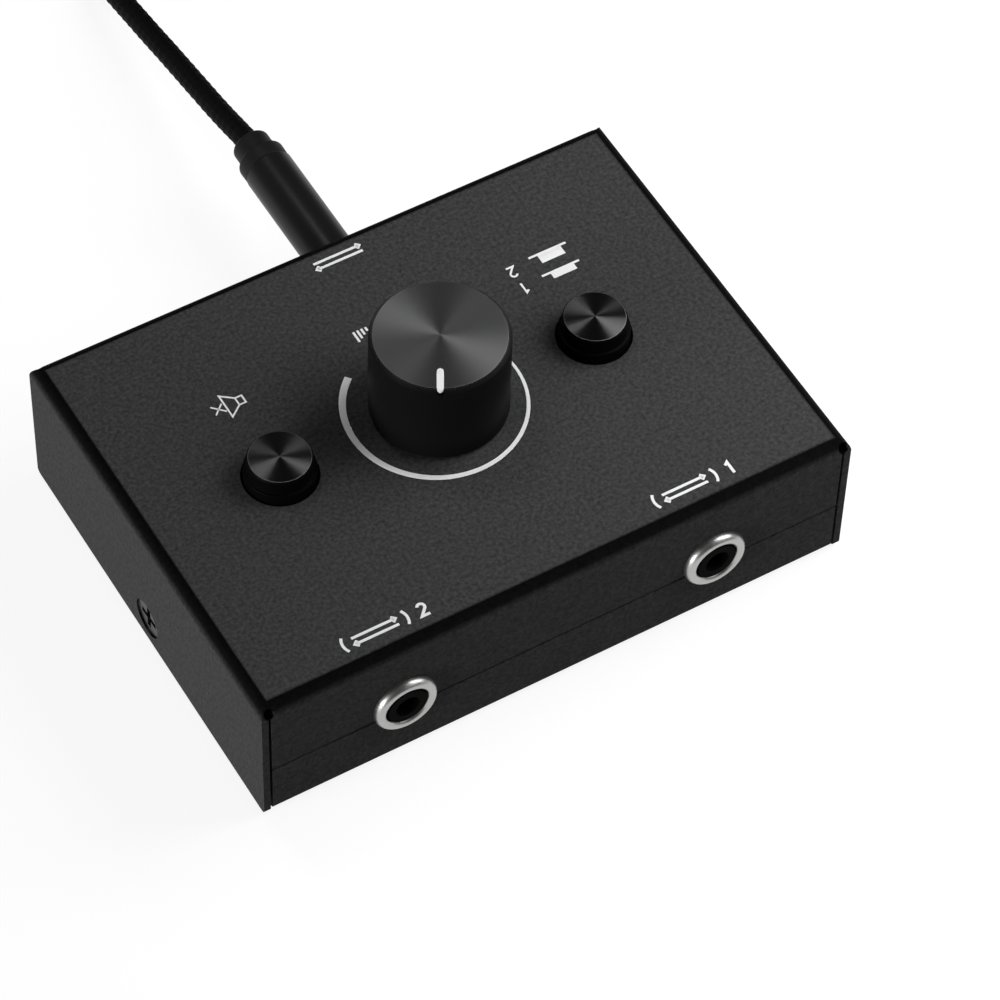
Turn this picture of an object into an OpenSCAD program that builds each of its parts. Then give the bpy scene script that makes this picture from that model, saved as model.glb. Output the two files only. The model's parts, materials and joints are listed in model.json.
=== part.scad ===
// Desktop speaker selector switch: a folded sheet-metal case with a volume knob,
// a mute button, a selector button, two front sockets and one rear socket with its lead.
// Millimetres. The front, with the two sockets, faces -Y. The feet stand on z = 0.

/* [Case] */
// Width of the case
case_w = 90.4; // [86:0.1:110]
// Depth of the case from front to back
case_d = 65.6; // [62:0.1:80]
// Height of the case without its feet
case_h = 23.2; // [22.2:0.1:28]
// Thickness of the folded sheet
sheet_t = 1; // [0.8:0.1:1.3]
// Inner radius of the cover's folds
bend_r = 1; // [0.6:0.1:1.2]
// Inner radius of the tray's folds
tray_bend_r = 0.2; // [0.1:0.1:0.5]
// Radius of the lower corners of the cover's sides
corner_r = 0.8; // [0.4:0.1:1.2]
// Height of the seam between cover and tray above the case bottom
seam_h = 9.7; // [8.7:0.1:10.7]
// Width of the seam between cover and tray
seam_gap = 0.5; // [0.2:0.05:0.6]
// Clearance between pieces that rest on each other
case_gap = 0.1; // [0.05:0.05:0.3]
// Width of the slit beside each folded flange
slit_w = 0.4; // [0.2:0.05:0.5]
// Radius of the round hole that ends each slit
relief_r = 0.75; // [0.4:0.05:0.8]
// Depth of that hole's centre below the panel
relief_drop = 1.2; // [1.1:0.05:1.4]
// Length of the tray's screw tab on each side
tab_l = 24; // [14:1:34]
// Height of the tray's screw tab above the case bottom
tab_h = 8.5; // [8:0.5:10]

/* [Case screws] */
// Radius of the case screw's thread
case_screw_r = 1.5; // [1.25:0.25:1.75]
// Radius of the case screw's countersunk head
case_screw_head_r = 2.9; // [2.6:0.1:3.2]
// Length of the case screw
case_screw_l = 5; // [4:0.5:5.5]
// Height of the case screws above the case bottom
case_screw_h = 4.5; // [4.2:0.1:4.6]
// Depth of the screw head below the side's face
case_screw_sink = 0.3; // [0.1:0.1:0.4]
// Clearance around every screw
screw_gap = 0.08; // [0.05:0.01:0.12]

/* [Feet] */
// Radius of a rubber foot
foot_r = 4; // [3:0.5:6]
// Height of a rubber foot
foot_h = 0.5; // [0.4:0.1:2]
// Distance from the case's sides to a foot's centre
foot_inset = 9; // [8:0.5:12]
// Bevel around the underside of a foot
foot_bevel = 0.2; // [0.1:0.1:0.3]

/* [Circuit board] */
// Thickness of the circuit board
board_t = 1.6; // [1:0.2:1.6]
// Distance from the case's side face to the board
board_side_gap = 6.5; // [6:0.5:8]
// Distance from the case's front face to the board
board_end_gap = 2; // [1.8:0.2:3]
// Radius of a stand-off
standoff_r = 2.5; // [2.2:0.1:3]
// Distance from the board's edges to a stand-off's centre
standoff_inset = 4.5; // [3.5:0.5:5]
// Radius of a board screw's thread
board_screw_r = 1.2; // [1:0.1:1.4]
// Radius of a board screw's head
board_screw_head_r = 2.2; // [2:0.1:2.5]
// Height of a board screw's head
board_screw_head_h = 1.4; // [1:0.2:1.8]
// Radius of a round terminal leg
leg_r = 0.35; // [0.3:0.05:0.45]
// Length of the legs below the board
leg_tail = 1.2; // [0.8:0.2:1.4]
// Clearance of a leg in its hole in the board
leg_gap = 0.15; // [0.1:0.05:0.25]

/* [Potentiometer] */
// Width of the potentiometer
pot_w = 12; // [11:0.5:14]
// Depth of the potentiometer
pot_d = 13; // [12:0.5:15]
// Thickness of a track wafer
wafer_t = 1; // [0.8:0.1:1.2]
// Height of one housing
deck_h = 4.5; // [4:0.25:5]
// Radius of the round chamber in a housing
chamber_r = 5; // [4.5:0.1:5.2]
// Thickness of the plate that carries the bush
bush_plate_t = 1; // [0.8:0.1:1.2]
// Radius of the threaded bush
bush_r = 3.5; // [3.4:0.1:4]
// Height of the bush above the panel
bush_proud = 3; // [2.8:0.1:3.6]
// Width across the flats of the bush nut
bush_nut_af = 10; // [9:0.5:11]
// Thickness of the bush nut
bush_nut_t = 2; // [1.6:0.1:2.2]
// Radius of the washer under the bush nut
washer_r = 5.6; // [5:0.1:6.2]
// Thickness of the washer
washer_t = 0.5; // [0.3:0.1:0.6]
// Radius of the shaft
shaft_r = 3; // [2.8:0.05:3.1]
// Radius of the thin end of the shaft inside the housings
shaft_pin_r = 1.5; // [1.2:0.1:1.7]
// Depth of the flat on the shaft
shaft_flat = 1.5; // [1:0.1:1.8]
// Radius of a wiper rotor
rotor_r = 4; // [3.5:0.1:4.2]
// Thickness of a wiper rotor
rotor_t = 1.2; // [1:0.1:1.4]
// Height of the brass wiper under a rotor
wiper_h = 0.9; // [0.7:0.1:1]
// Running gap between the wiper and its track
wiper_gap = 0.3; // [0.2:0.05:0.4]
// Running clearance of the shaft and of its thin end
run_gap = 0.05; // [0.02:0.01:0.1]
// Pitch of the potentiometer's terminals
pot_pitch = 2.5; // [2:0.1:3]
// Length of the lower wafer's tongue
tongue_l = 1.6; // [1.4:0.1:2]

/* [Volume knob] */
// Radius of the knob
knob_r = 9.6; // [9:0.1:12]
// Height of the knob
knob_h = 14.2; // [12:0.1:18]
// Gap between the panel and the knob
knob_lift = 0.6; // [0.4:0.1:1]
// Bevel around the knob's top
knob_bevel = 0.5; // [0.3:0.1:1]
// Radius of the hollow under the knob
knob_hollow_r = 7; // [6.8:0.1:7.6]
// Height of the hollow under the knob
knob_hollow_h = 4.2; // [4:0.1:5]
// Depth of the shaft in the knob above the hollow
shaft_grip = 6; // [4:0.5:6.5]
// Clearance of the shaft in the knob
shaft_fit = 0.03; // [0.02:0.01:0.05]
// Width of the white pointer line
pointer_w = 0.9; // [0.6:0.1:1.4]
// Length of the pointer line from the rim inwards
pointer_l = 3.9; // [2:0.1:5]
// Depth of the pointer line in the top
pointer_depth = 0.3; // [0.2:0.1:0.5]
// Direction of the pointer line at rest, in degrees from +X
pointer_angle = -120; // [-170:5:-60]
// Radius of the grub screw
grub_r = 1.5; // [1.25:0.25:1.75]
// Length of the grub screw
grub_l = 5; // [4:0.5:6]

/* [Push buttons] */
// Distance of each button's axis from the nearer side of the case
button_inset = 20.8; // [18:0.2:23]
// Radius of a button's top
cap_r = 4.5; // [4:0.05:4.8]
// Radius of a button's skirt
skirt_r = 5; // [4.9:0.1:6]
// Height of a button above the panel
cap_h = 4; // [3.5:0.1:5]
// Height of the skirt above the panel
skirt_h = 1.6; // [1.2:0.1:2]
// Length of the skirt below the panel's top face
skirt_below = 2.6; // [2:0.2:3]
// Bevel around a button's edges
cap_bevel = 0.3; // [0.2:0.1:0.5]
// Clearance of the skirt in the panel
cap_gap = 0.35; // [0.3:0.05:0.6]
// Depth to which a button is pressed
press = 2.5; // [1.5:0.1:2.6]
// Width of the square stem under a button
stem_w = 3.6; // [3:0.1:4]
// Depth of the stem in the button
stem_grip = 4; // [3:0.2:4.4]
// Clearance of the stem in the button
stem_fit = 0.05; // [0.02:0.01:0.1]

/* [Switches] */
// Width of a switch housing
switch_w = 8.5; // [8.2:0.1:9]
// Thickness of a switch housing's walls, floor and lid
switch_wall = 0.9; // [0.7:0.05:1]
// Sliding clearance in the switch
slide_gap = 0.3; // [0.2:0.05:0.35]
// Height of the sliding block on the plunger
block_h = 3; // [2.6:0.1:3.4]
// Radius of the spring's wire
spring_wire_r = 0.18; // [0.14:0.01:0.2]
// Mean radius of the spring
spring_r = 1.5; // [1.2:0.1:1.8]
// Turns of the spring
spring_turns = 4; // [3:1:5]
// Radius of the latch pin
latch_r = 0.3; // [0.25:0.05:0.35]
// Thickness of a moving contact
clip_t = 0.25; // [0.2:0.05:0.3]
// Pitch of the switch terminals
switch_pitch = 2.5; // [2:0.1:2.6]

/* [Sockets] */
// Distance of each front socket's axis from the nearer side of the case
jack_inset = 21.2; // [19:0.1:23]
// Distance of the rear socket from the middle
rear_jack_x = 4.8; // [0:0.2:8]
// Height of the sockets above the case bottom
jack_h = 11.2; // [10.7:0.1:11.7]
// Height of a socket's axis above the board
jack_axis_h = 5; // [4.8:0.1:5]
// Width of a socket's body
jack_w = 9; // [8.6:0.1:9.4]
// Height of a socket's body above its axis
jack_top_h = 4.5; // [4:0.1:5]
// Radius of the socket's bore
bore_r = 1.8; // [1.78:0.01:1.85]
// Depth of the bore behind the case's face
bore_depth = 13.3; // [12.8:0.1:14]
// Thickness of the wall behind the bore
jack_back_t = 1.1; // [0.8:0.1:1.5]
// Radius of the socket's threaded nose
nose_r = 2.95; // [2.8:0.05:3.1]
// Height of the nose in front of the case
nose_proud = 1; // [0.7:0.1:1.1]
// Clearance of the nose in the case
nose_gap = 0.15; // [0.1:0.05:0.3]
// Radius of the ring nut
ring_r = 4.7; // [4.4:0.1:5.2]
// Height of the ring nut in front of the case
ring_h = 1.2; // [1.1:0.1:1.6]
// Clearance of the ring nut on the nose
ring_gap = 0.05; // [0.02:0.01:0.1]
// Thickness of a contact leaf
leaf_t = 0.3; // [0.2:0.05:0.4]
// Width of a contact leaf
leaf_w = 1; // [0.8:0.1:1.2]
// Clearance of a contact leaf in its slot
leaf_gap = 0.15; // [0.1:0.05:0.25]
// Distance of a contact leaf from the bore's wall
leaf_clear = 0.2; // [0.1:0.05:0.3]

/* [Lead] */
// Radius of the plug's pin
pin_r = 1.75; // [1.7:0.01:1.76]
// Length of the plug's pin
pin_l = 14; // [13.5:0.1:14.2]
// Length of the pin's neck in front of the barrel
neck_l = 0.4; // [0.3:0.1:0.8]
// Depth of the pin's neck
neck_d = 0.25; // [0.2:0.05:0.4]
// Length of the pin's tip
tip_l = 3.6; // [3:0.1:4]
// Length of the pin's ring contact
ring_contact_l = 2; // [1.6:0.1:2.4]
// Length of an insulating ring
insulator_l = 0.8; // [0.5:0.1:1]
// Radius of the wire in the middle of the pin
pin_core_r = 0.6; // [0.5:0.05:0.8]
// Radius of the plug's barrel
barrel_r = 3.65; // [3.4:0.05:4]
// Length of the plug's barrel
barrel_l = 22.5; // [20:0.1:26]
// Clearance around the pin in the barrel's mouth
mouth_gap = 0.25; // [0.2:0.05:0.4]
// Thickness of the barrel's wall
barrel_t = 1; // [0.8:0.1:1.2]
// Radius of the boot behind the barrel
boot_r = 2.85; // [2.6:0.05:3.2]
// Length of the boot behind the barrel
boot_l = 5.7; // [5:0.1:8]
// Length of the boot's collar against the barrel
collar_l = 2.6; // [1:0.1:3]
// Gap between the ring nut and the plug in the rear socket
seat_gap = 0.3; // [0.2:0.05:0.4]
// Radius of the cord
cord_r = 1.75; // [1.5:0.05:2]
// Radius of the coil's innermost turn
coil_r = 15.75; // [12:0.25:18]
// Turns of the coil that lie on the floor
coil_turns = 4; // [3:1:5]
// Thickness of the tie around the coil
tie_t = 0.5; // [0.3:0.1:0.6]

/* [Hidden] */
$fn = 64;

// Overshoot of a cut past the faces that it opens
cut = 1;
// Heights of the case
base_z = foot_h;
floor_z = base_z + sheet_t;
top_z = base_z + case_h;
under_z = top_z - sheet_t;
fold_r = sheet_t + bend_r;
tray_half_w = case_w / 2 - sheet_t - slit_w;
screw_z = base_z + case_screw_h;
// Heights of the board, which the sockets' height sets
jack_z = base_z + jack_h;
board_top = jack_z - jack_axis_h;
board_low = board_top - board_t;
board_w = case_w - 2 * board_side_gap;
board_d = case_d - 2 * board_end_gap;
standoff_x = board_w / 2 - standoff_inset;
standoff_y = board_d / 2 - standoff_inset;
leg_end = board_low - leg_tail;
corners = [[-1, -1], [1, -1], [-1, 1], [1, 1]];
// Heights of the potentiometer's stack
deck_zs = [board_top + wafer_t, board_top + 2 * wafer_t + deck_h];
wafer_zs = [board_top, deck_zs[0] + deck_h];
bush_z = deck_zs[1] + deck_h;
bush_top = top_z + bush_proud;
pot_row_ys = [-pot_d / 2 - tongue_l / 2, -pot_d / 2 - tongue_l - 3 * leg_r];
pot_leg_xs = [-pot_pitch, 0, pot_pitch];
// Heights of the knob
knob_z = top_z + knob_lift;
knob_top = knob_z + knob_h;
shaft_top = knob_z + knob_hollow_h + shaft_grip;
grub_z = shaft_top - shaft_grip / 2;
pointer_turn = knob_bevel + pointer_depth;
grub_angle = pointer_angle + 180;
// Places of the buttons
button_x = case_w / 2 - button_inset;
// Heights inside a switch: the pressed spring lies solid, with its last turn in the plunger's pocket
spring_solid = 2 * spring_wire_r * (spring_turns + 1);
switch_floor = board_top + switch_wall;
block_low = switch_floor + spring_solid - spring_wire_r + press;
block_top = block_low + block_h;
switch_h = block_top + slide_gap + switch_wall - board_top;
block_w = switch_w - 2 * switch_wall - 2 * slide_gap;
cap_top = top_z + cap_h;
cap_low = top_z - skirt_below;
skirt_top = top_z + skirt_h;
stem_top = cap_low + stem_grip;
groove_w = 2 * latch_r + 2 * slide_gap;
groove_d = 2 * latch_r + slide_gap;
latch_y = -block_w / 2 + latch_r;
switch_legs = [for (x = [-1, 1], y = [-1, 0, 1]) [x * switch_pitch, y * switch_pitch]];
// Places of the sockets: x, and -1 for the front or 1 for the back
jack_x = case_w / 2 - jack_inset;
left_jack = [-jack_x, -1];
right_jack = [jack_x, -1];
rear_jack = [rear_jack_x, 1];
jacks = [left_jack, right_jack, rear_jack];
jack_face = sheet_t + case_gap;
jack_end = bore_depth + jack_back_t;
leaf_x = bore_r + leaf_clear;
// Contact leaves: side of the bore, and depth behind the case's face
sleeve_end = pin_l - tip_l - 2 * insulator_l - ring_contact_l;
pin_tip_depth = pin_l - ring_h - seat_gap;
leaves = [
    [1, pin_tip_depth - pin_l + sleeve_end - 2 * leaf_w],
    [-1, pin_tip_depth - tip_l - insulator_l - ring_contact_l / 2],
    [1, pin_tip_depth - tip_l / 2]
];
// Places of the plugs: the shoulder of each barrel
plug_at = [rear_jack_x, case_d / 2 + ring_h + seat_gap, jack_z];
// Route of the cord from the boot to the coil
lead_route = [
    [4.8, 62.5, 11.7], [4.8, 65, 11.2], [4.8, 68.5, 10.3], [4.8, 73, 9.3],
    [4.8, 78, 8.4], [4.8, 83, 7.5], [4.8, 88, 6.6], [4.8, 93, 5.6],
    [4.8, 98.5, 4.6], [4.8, 104, 3.6], [4.8, 109, 2.8], [4.8, 114.5, 2.3],
    [4.8, 120, 2.1], [4.8, 127, 2.4]
];
lead_end = lead_route[len(lead_route) - 1];
// The coil: its lower layer, and an upper layer of one turn fewer in the hollows of the lower one
coil_z = tie_t + case_gap;
coil_low_z = coil_z + cord_r;
coil_high_z = coil_low_z + cord_r * sqrt(3);
coil_top = coil_high_z + cord_r;
coil_low_rs = [coil_r, coil_r + 2 * cord_r * (coil_turns - 1)];
coil_high_rs = [coil_low_rs[0] + cord_r, coil_low_rs[1] - cord_r];
coil_at = [lead_end[0] + coil_low_rs[1], lead_end[1], 0];
// Route of the cord's end from the coil to the far plug, which lies on the coil
tail_route = [
    [48.4, 144.3, 5.4], [51.4, 139.8, 6.6], [52.5, 134.4, 8.4], [51.4, 129, 9.8],
    [48.4, 124.5, 10.6], [44, 121.7, 10.9], [39.5, 120.5, 10.9], [35.5, 120.4, 10.9]
];
far_plug_at = tail_route[len(tail_route) - 1] - [boot_l + barrel_l, 0, 0];
// Half the angle that the tie covers around the coil
tie_half_angle = 9;
// Sides and steps of the swept tubes
cord_sides = 8;
spring_sides = 6;
spring_steps = 16;

// A rectangle that stands on y = 0, with its two upper corners rounded
module round_top(w, h, r) {
    translate([-w / 2, -cut]) square([w, h - r + cut]);
    translate([-w / 2 + r, 0]) square([w - 2 * r, h]);
    for (s = [-1, 1]) translate([s * (w / 2 - r), h - r]) circle(r);
}

// A rectangle whose lower corners are rounded, open upwards past h by the given overshoot
module round_low(w, h, r, over = 0) {
    translate([-w / 2, r]) square([w, h - r + over]);
    translate([-w / 2 + r, 0]) square([w - 2 * r, h]);
    for (s = [-1, 1]) translate([s * (w / 2 - r), r]) circle(r);
}

// The block that the cover is folded around, shrunk by an inset, open below
module cover_block(inset) {
    h = case_h - inset;
    r = fold_r - inset;
    intersection() {
        rotate([90, 0, 0]) linear_extrude(height = case_d - 2 * inset, center = true)
            round_top(case_w - 2 * inset, h, r);
        rotate([90, 0, 90]) linear_extrude(height = case_w - 2 * inset, center = true)
            round_top(case_d - 2 * inset, h, r);
    }
}

// Holes for the socket noses, which cross the seam
module nose_holes() {
    for (j = jacks) place_jack(j)
        rotate([-90, 0, 0]) translate([0, 0, -cut])
            cylinder(r = nose_r + nose_gap, h = sheet_t + 2 * cut);
}

// Space for the side screws: countersink and thread
module case_screw_holes() {
    for (s = [-1, 1]) place_case_screw(s) {
        translate([0, 0, -case_screw_sink - cut])
            cylinder(r = case_screw_head_r + screw_gap, h = case_screw_sink + cut);
        cylinder(
            r1 = case_screw_head_r + screw_gap,
            r2 = case_screw_r + screw_gap,
            h = case_screw_head_r - case_screw_r
        );
        cylinder(r = case_screw_r + screw_gap, h = case_screw_l + cut);
    }
}

// Frame of a side screw: z runs inwards from the sunk head
module place_case_screw(s) {
    translate([s * (case_w / 2 - case_screw_sink), 0, screw_z]) rotate([0, -90 * s, 0]) children();
}

// Frame of a socket: y runs inwards from the case's outer face, along the bore
module place_jack(j) {
    translate([j[0], j[1] * case_d / 2, jack_z]) rotate([0, 0, j[1] > 0 ? 180 : 0]) children();
}

module top_cover() {
    inner_w = case_w - 2 * sheet_t;
    color([0.11, 0.11, 0.115]) difference() {
        translate([0, 0, base_z]) intersection() {
            difference() {
                cover_block(0);
                cover_block(sheet_t);
            }
            rotate([90, 0, 90]) linear_extrude(height = 2 * case_w, center = true)
                round_low(case_d, 2 * case_h, corner_r);
        }
        for (s = [-1, 1]) translate([-inner_w / 2, s * case_d / 2 - sheet_t - cut / 2, base_z - cut])
            cube([inner_w, 2 * sheet_t + cut, seam_h + cut]);
        for (c = corners) translate([
            c[0] * (inner_w - slit_w) / 2,
            c[1] * (case_d / 2 - sheet_t / 2),
            top_z - relief_drop
        ]) {
            translate([-slit_w / 2, -sheet_t / 2 - cut / 2, -case_h + relief_drop])
                cube([slit_w, sheet_t + cut, case_h - relief_drop]);
            rotate([90, 0, 0]) cylinder(r = relief_r, h = sheet_t + cut, center = true);
        }
        nose_holes();
        case_screw_holes();
        translate([0, 0, under_z - cut]) cylinder(r = bush_r + run_gap, h = sheet_t + 2 * cut);
        for (s = [-1, 1]) translate([s * button_x, 0, under_z - cut])
            cylinder(r = skirt_r + cap_gap, h = sheet_t + 2 * cut);
    }
}

module bottom_tray() {
    flange_h = seam_h - seam_gap;
    color([0.1, 0.1, 0.105]) difference() {
        translate([0, 0, base_z]) {
            rotate([90, 0, 90]) linear_extrude(height = 2 * tray_half_w, center = true) difference() {
                round_low(case_d, flange_h, sheet_t + tray_bend_r);
                translate([0, sheet_t]) round_low(case_d - 2 * sheet_t, flange_h, tray_bend_r, cut);
            }
            for (s = [-1, 1]) translate([s * (tray_half_w - sheet_t / 2) - sheet_t / 2, -tab_l / 2, 0])
                cube([sheet_t, tab_l, tab_h]);
        }
        nose_holes();
        case_screw_holes();
    }
}

module case_screws() {
    recess_w = case_screw_head_r * 4 / 3;
    recess_t = case_screw_head_r / 3;
    recess_d = case_screw_head_r / 3;
    color([0.16, 0.16, 0.17]) for (s = [-1, 1]) place_case_screw(s) difference() {
        union() {
            cylinder(r1 = case_screw_head_r, r2 = case_screw_r, h = case_screw_head_r - case_screw_r);
            cylinder(r = case_screw_r, h = case_screw_l);
        }
        for (a = [0, 90]) rotate([0, 0, a]) translate([-recess_w / 2, -recess_t / 2, -cut])
            cube([recess_w, recess_t, recess_d + cut]);
    }
}

module rubber_feet() {
    color([0.05, 0.05, 0.05]) for (c = corners)
        translate([c[0] * (case_w / 2 - foot_inset), c[1] * (case_d / 2 - foot_inset), 0])
            rotate_extrude() polygon([
                [0, 0], [foot_r - foot_bevel, 0], [foot_r, foot_bevel], [foot_r, foot_h], [0, foot_h]
            ]);
}

module circuit_board() {
    hole_r = leg_r + leg_gap;
    leaf_hole_r = leaf_w / 2 + leg_gap;
    color([0.05, 0.25, 0.12]) difference() {
        translate([-board_w / 2, -board_d / 2, board_low]) cube([board_w, board_d, board_t]);
        translate([0, 0, board_low - cut]) {
            for (c = corners) translate([c[0] * standoff_x, c[1] * standoff_y])
                cylinder(r = board_screw_r + screw_gap, h = board_t + 2 * cut);
            for (x = pot_leg_xs, y = pot_row_ys) translate([x, y])
                cylinder(r = hole_r, h = board_t + 2 * cut);
            for (s = [-1, 1], p = switch_legs) translate([s * button_x + p[0], p[1]])
                cylinder(r = hole_r, h = board_t + 2 * cut);
        }
        for (j = jacks) place_jack(j) for (l = leaves)
            translate([l[0] * (leaf_x + leaf_t / 2), l[1], board_low - jack_z - cut])
                cylinder(r = leaf_hole_r, h = board_t + 2 * cut);
    }
}

module board_standoffs() {
    color([0.75, 0.72, 0.6]) for (c = corners) translate([c[0] * standoff_x, c[1] * standoff_y, floor_z])
        difference() {
            cylinder(r = standoff_r, h = board_low - floor_z);
            translate([0, 0, -cut]) cylinder(r = board_screw_r + screw_gap, h = case_h);
        }
}

module board_screws() {
    slot_w = board_screw_head_r / 3;
    slot_d = board_screw_head_h / 2;
    color([0.7, 0.7, 0.72]) for (c = corners) translate([c[0] * standoff_x, c[1] * standoff_y, 0])
        difference() {
            union() {
                translate([0, 0, floor_z]) cylinder(r = board_screw_r, h = board_top - floor_z);
                translate([0, 0, board_top]) cylinder(r = board_screw_head_r, h = board_screw_head_h);
            }
            for (a = [0, 90]) rotate([0, 0, a])
                translate([-board_screw_head_r / 2, -slot_w / 2, board_top + board_screw_head_h - slot_d])
                    cube([board_screw_head_r, slot_w, slot_d + cut]);
        }
}

// The lower wafer's tongue carries one row of terminals, the upper wafer's longer tongue the other
module pot_wafers() {
    reach = [pot_row_ys[0] - 2 * leg_r, pot_row_ys[1] - 2 * leg_r];
    color([0.45, 0.27, 0.13]) for (i = [0, 1]) difference() {
        translate([-pot_w / 2, reach[i], wafer_zs[i]]) cube([pot_w, pot_d / 2 - reach[i], wafer_t]);
        translate([0, 0, wafer_zs[i] - cut]) cylinder(r = shaft_pin_r + slide_gap, h = wafer_t + 2 * cut);
    }
}

module pot_housings() {
    color([0.12, 0.12, 0.13]) for (z = deck_zs) translate([0, 0, z]) difference() {
        translate([-pot_w / 2, -pot_d / 2, 0]) cube([pot_w, pot_d, deck_h]);
        translate([0, 0, -cut]) cylinder(r = chamber_r, h = deck_h + 2 * cut);
    }
}

module pot_bush() {
    color([0.78, 0.76, 0.7]) difference() {
        union() {
            translate([-pot_w / 2, -pot_d / 2, bush_z]) cube([pot_w, pot_d, bush_plate_t]);
            translate([0, 0, bush_z]) cylinder(r = bush_r, h = bush_top - bush_z);
        }
        translate([0, 0, bush_z - cut]) cylinder(r = shaft_r + run_gap, h = bush_top - bush_z + 2 * cut);
    }
}

module pot_terminals() {
    color([0.8, 0.8, 0.82]) for (i = [0, 1], x = pot_leg_xs)
        translate([x, pot_row_ys[i], leg_end]) cylinder(r = leg_r, h = wafer_zs[i] - leg_end);
}

module pot_washer() {
    color([0.75, 0.75, 0.76]) translate([0, 0, top_z]) difference() {
        cylinder(r = washer_r, h = washer_t);
        translate([0, 0, -cut]) cylinder(r = bush_r + screw_gap, h = washer_t + 2 * cut);
    }
}

module pot_nut() {
    color([0.8, 0.8, 0.8]) translate([0, 0, top_z + washer_t]) difference() {
        cylinder(r = bush_nut_af / sqrt(3), h = bush_nut_t, $fn = 6);
        translate([0, 0, -cut]) cylinder(r = bush_r + screw_gap, h = bush_nut_t + 2 * cut);
    }
}

// Thick above the bush plate's underside, thin through both decks, with a flat in the knob
module pot_shaft() {
    flat_z = bush_top + slide_gap;
    color([0.82, 0.82, 0.84]) difference() {
        union() {
            translate([0, 0, board_top + wiper_gap])
                cylinder(r = shaft_pin_r, h = bush_z - board_top - wiper_gap);
            translate([0, 0, bush_z]) cylinder(r = shaft_r, h = shaft_top - bush_z);
        }
        rotate([0, 0, grub_angle]) translate([shaft_r - shaft_flat, -shaft_r - cut, flat_z])
            cube([2 * shaft_r, 2 * shaft_r + 2 * cut, shaft_top - flat_z + cut]);
    }
}

function rotor_z(i) = deck_zs[i] + wiper_gap + wiper_h;

module pot_rotors() {
    color([0.9, 0.88, 0.8]) for (i = [0, 1]) translate([0, 0, rotor_z(i)]) difference() {
        cylinder(r = rotor_r, h = rotor_t);
        translate([0, 0, -cut]) cylinder(r = shaft_pin_r + shaft_fit, h = rotor_t + 2 * cut);
    }
}

// One brass ring with a foot under each rotor
module pot_wipers() {
    ring_w = rotor_r / 4;
    plate_t = wiper_h / 2;
    color([0.8, 0.62, 0.25]) for (i = [0, 1]) translate([0, 0, rotor_z(i)]) {
        translate([0, 0, -plate_t]) difference() {
            cylinder(r = rotor_r, h = plate_t);
            translate([0, 0, -cut]) cylinder(r = rotor_r - ring_w, h = plate_t + 2 * cut);
        }
        rotate([0, 0, pointer_angle]) translate([rotor_r - ring_w, -ring_w / 2, -wiper_h])
            cube([ring_w / 2, ring_w, wiper_h - plate_t]);
    }
}

// The knob's outer form, a beveled cylinder
module knob_form() {
    rotate_extrude() polygon([
        [0, knob_z], [knob_r, knob_z], [knob_r, knob_top - knob_bevel],
        [knob_r - knob_bevel, knob_top], [0, knob_top]
    ]);
}

// The groove of the pointer line, from the rim inwards and over the bevel
module pointer_groove() {
    rotate([0, 0, pointer_angle])
        translate([knob_r - pointer_l, -pointer_w / 2, knob_top - pointer_turn])
            difference() {
                cube([pointer_l + cut, pointer_w, pointer_turn + cut]);
                translate([-cut, -cut, -cut])
                    cube([pointer_l + cut - pointer_turn, pointer_w + 2 * cut, knob_bevel + cut]);
            }
}

module volume_knob() {
    color([0.07, 0.07, 0.075]) difference() {
        knob_form();
        pointer_groove();
        translate([0, 0, knob_z - cut]) cylinder(r = knob_hollow_r, h = knob_hollow_h + cut);
        translate([0, 0, knob_z])
            cylinder(r = shaft_r + shaft_fit, h = knob_hollow_h + shaft_grip + slide_gap);
        rotate([0, 0, grub_angle]) translate([0, 0, grub_z]) rotate([0, 90, 0])
            cylinder(r = grub_r + screw_gap, h = knob_r + cut);
    }
}

module knob_pointer() {
    color([0.95, 0.95, 0.95]) intersection() {
        knob_form();
        pointer_groove();
    }
}

module knob_grub_screw() {
    seat_x = shaft_r - shaft_flat + shaft_fit;
    socket_r = grub_r / 2;
    socket_d = grub_l / 3;
    color([0.2, 0.2, 0.2]) rotate([0, 0, grub_angle]) translate([seat_x, 0, grub_z]) rotate([0, 90, 0])
        difference() {
            cylinder(r = grub_r, h = grub_l);
            translate([0, 0, grub_l - socket_d]) cylinder(r = socket_r, h = socket_d + cut, $fn = 6);
        }
}

// A stepped cap with beveled edges and a square socket for the stem
module button_cap(x) {
    color([0.08, 0.08, 0.085]) translate([x, 0, 0]) difference() {
        rotate_extrude() polygon([
            [0, cap_low], [skirt_r, cap_low],
            [skirt_r, skirt_top - cap_bevel], [skirt_r - cap_bevel, skirt_top], [cap_r, skirt_top],
            [cap_r, cap_top - cap_bevel], [cap_r - cap_bevel, cap_top], [0, cap_top]
        ]);
        translate([-stem_w / 2 - stem_fit, -stem_w / 2 - stem_fit, cap_low - cut])
            cube([stem_w + 2 * stem_fit, stem_w + 2 * stem_fit, stem_grip + stem_fit + cut]);
    }
}

// The square stem, the sliding block with its latch groove, and a pocket for the spring
module button_plunger(x) {
    pocket_r = spring_r + spring_wire_r + slide_gap;
    color([0.85, 0.85, 0.82]) translate([x, 0, 0]) difference() {
        union() {
            translate([-stem_w / 2, -stem_w / 2, block_low]) cube([stem_w, stem_w, stem_top - block_low]);
            translate([-block_w / 2, -block_w / 2, block_low]) cube([block_w, block_w, block_h]);
        }
        translate([-groove_w / 2, -block_w / 2 - cut, block_low - cut])
            cube([groove_w, groove_d + cut, block_h + 2 * cut]);
        for (s = [-1, 1]) translate([s * (block_w / 2 - clip_t / 2) - clip_t / 2 - cut * (1 - s) / 2,
            -block_w / 4, block_low + block_h / 3])
            cube([clip_t + cut, block_w / 2, block_h / 3]);
        translate([0, 0, block_low - cut]) cylinder(r = pocket_r, h = cut + spring_wire_r);
    }
}

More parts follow.
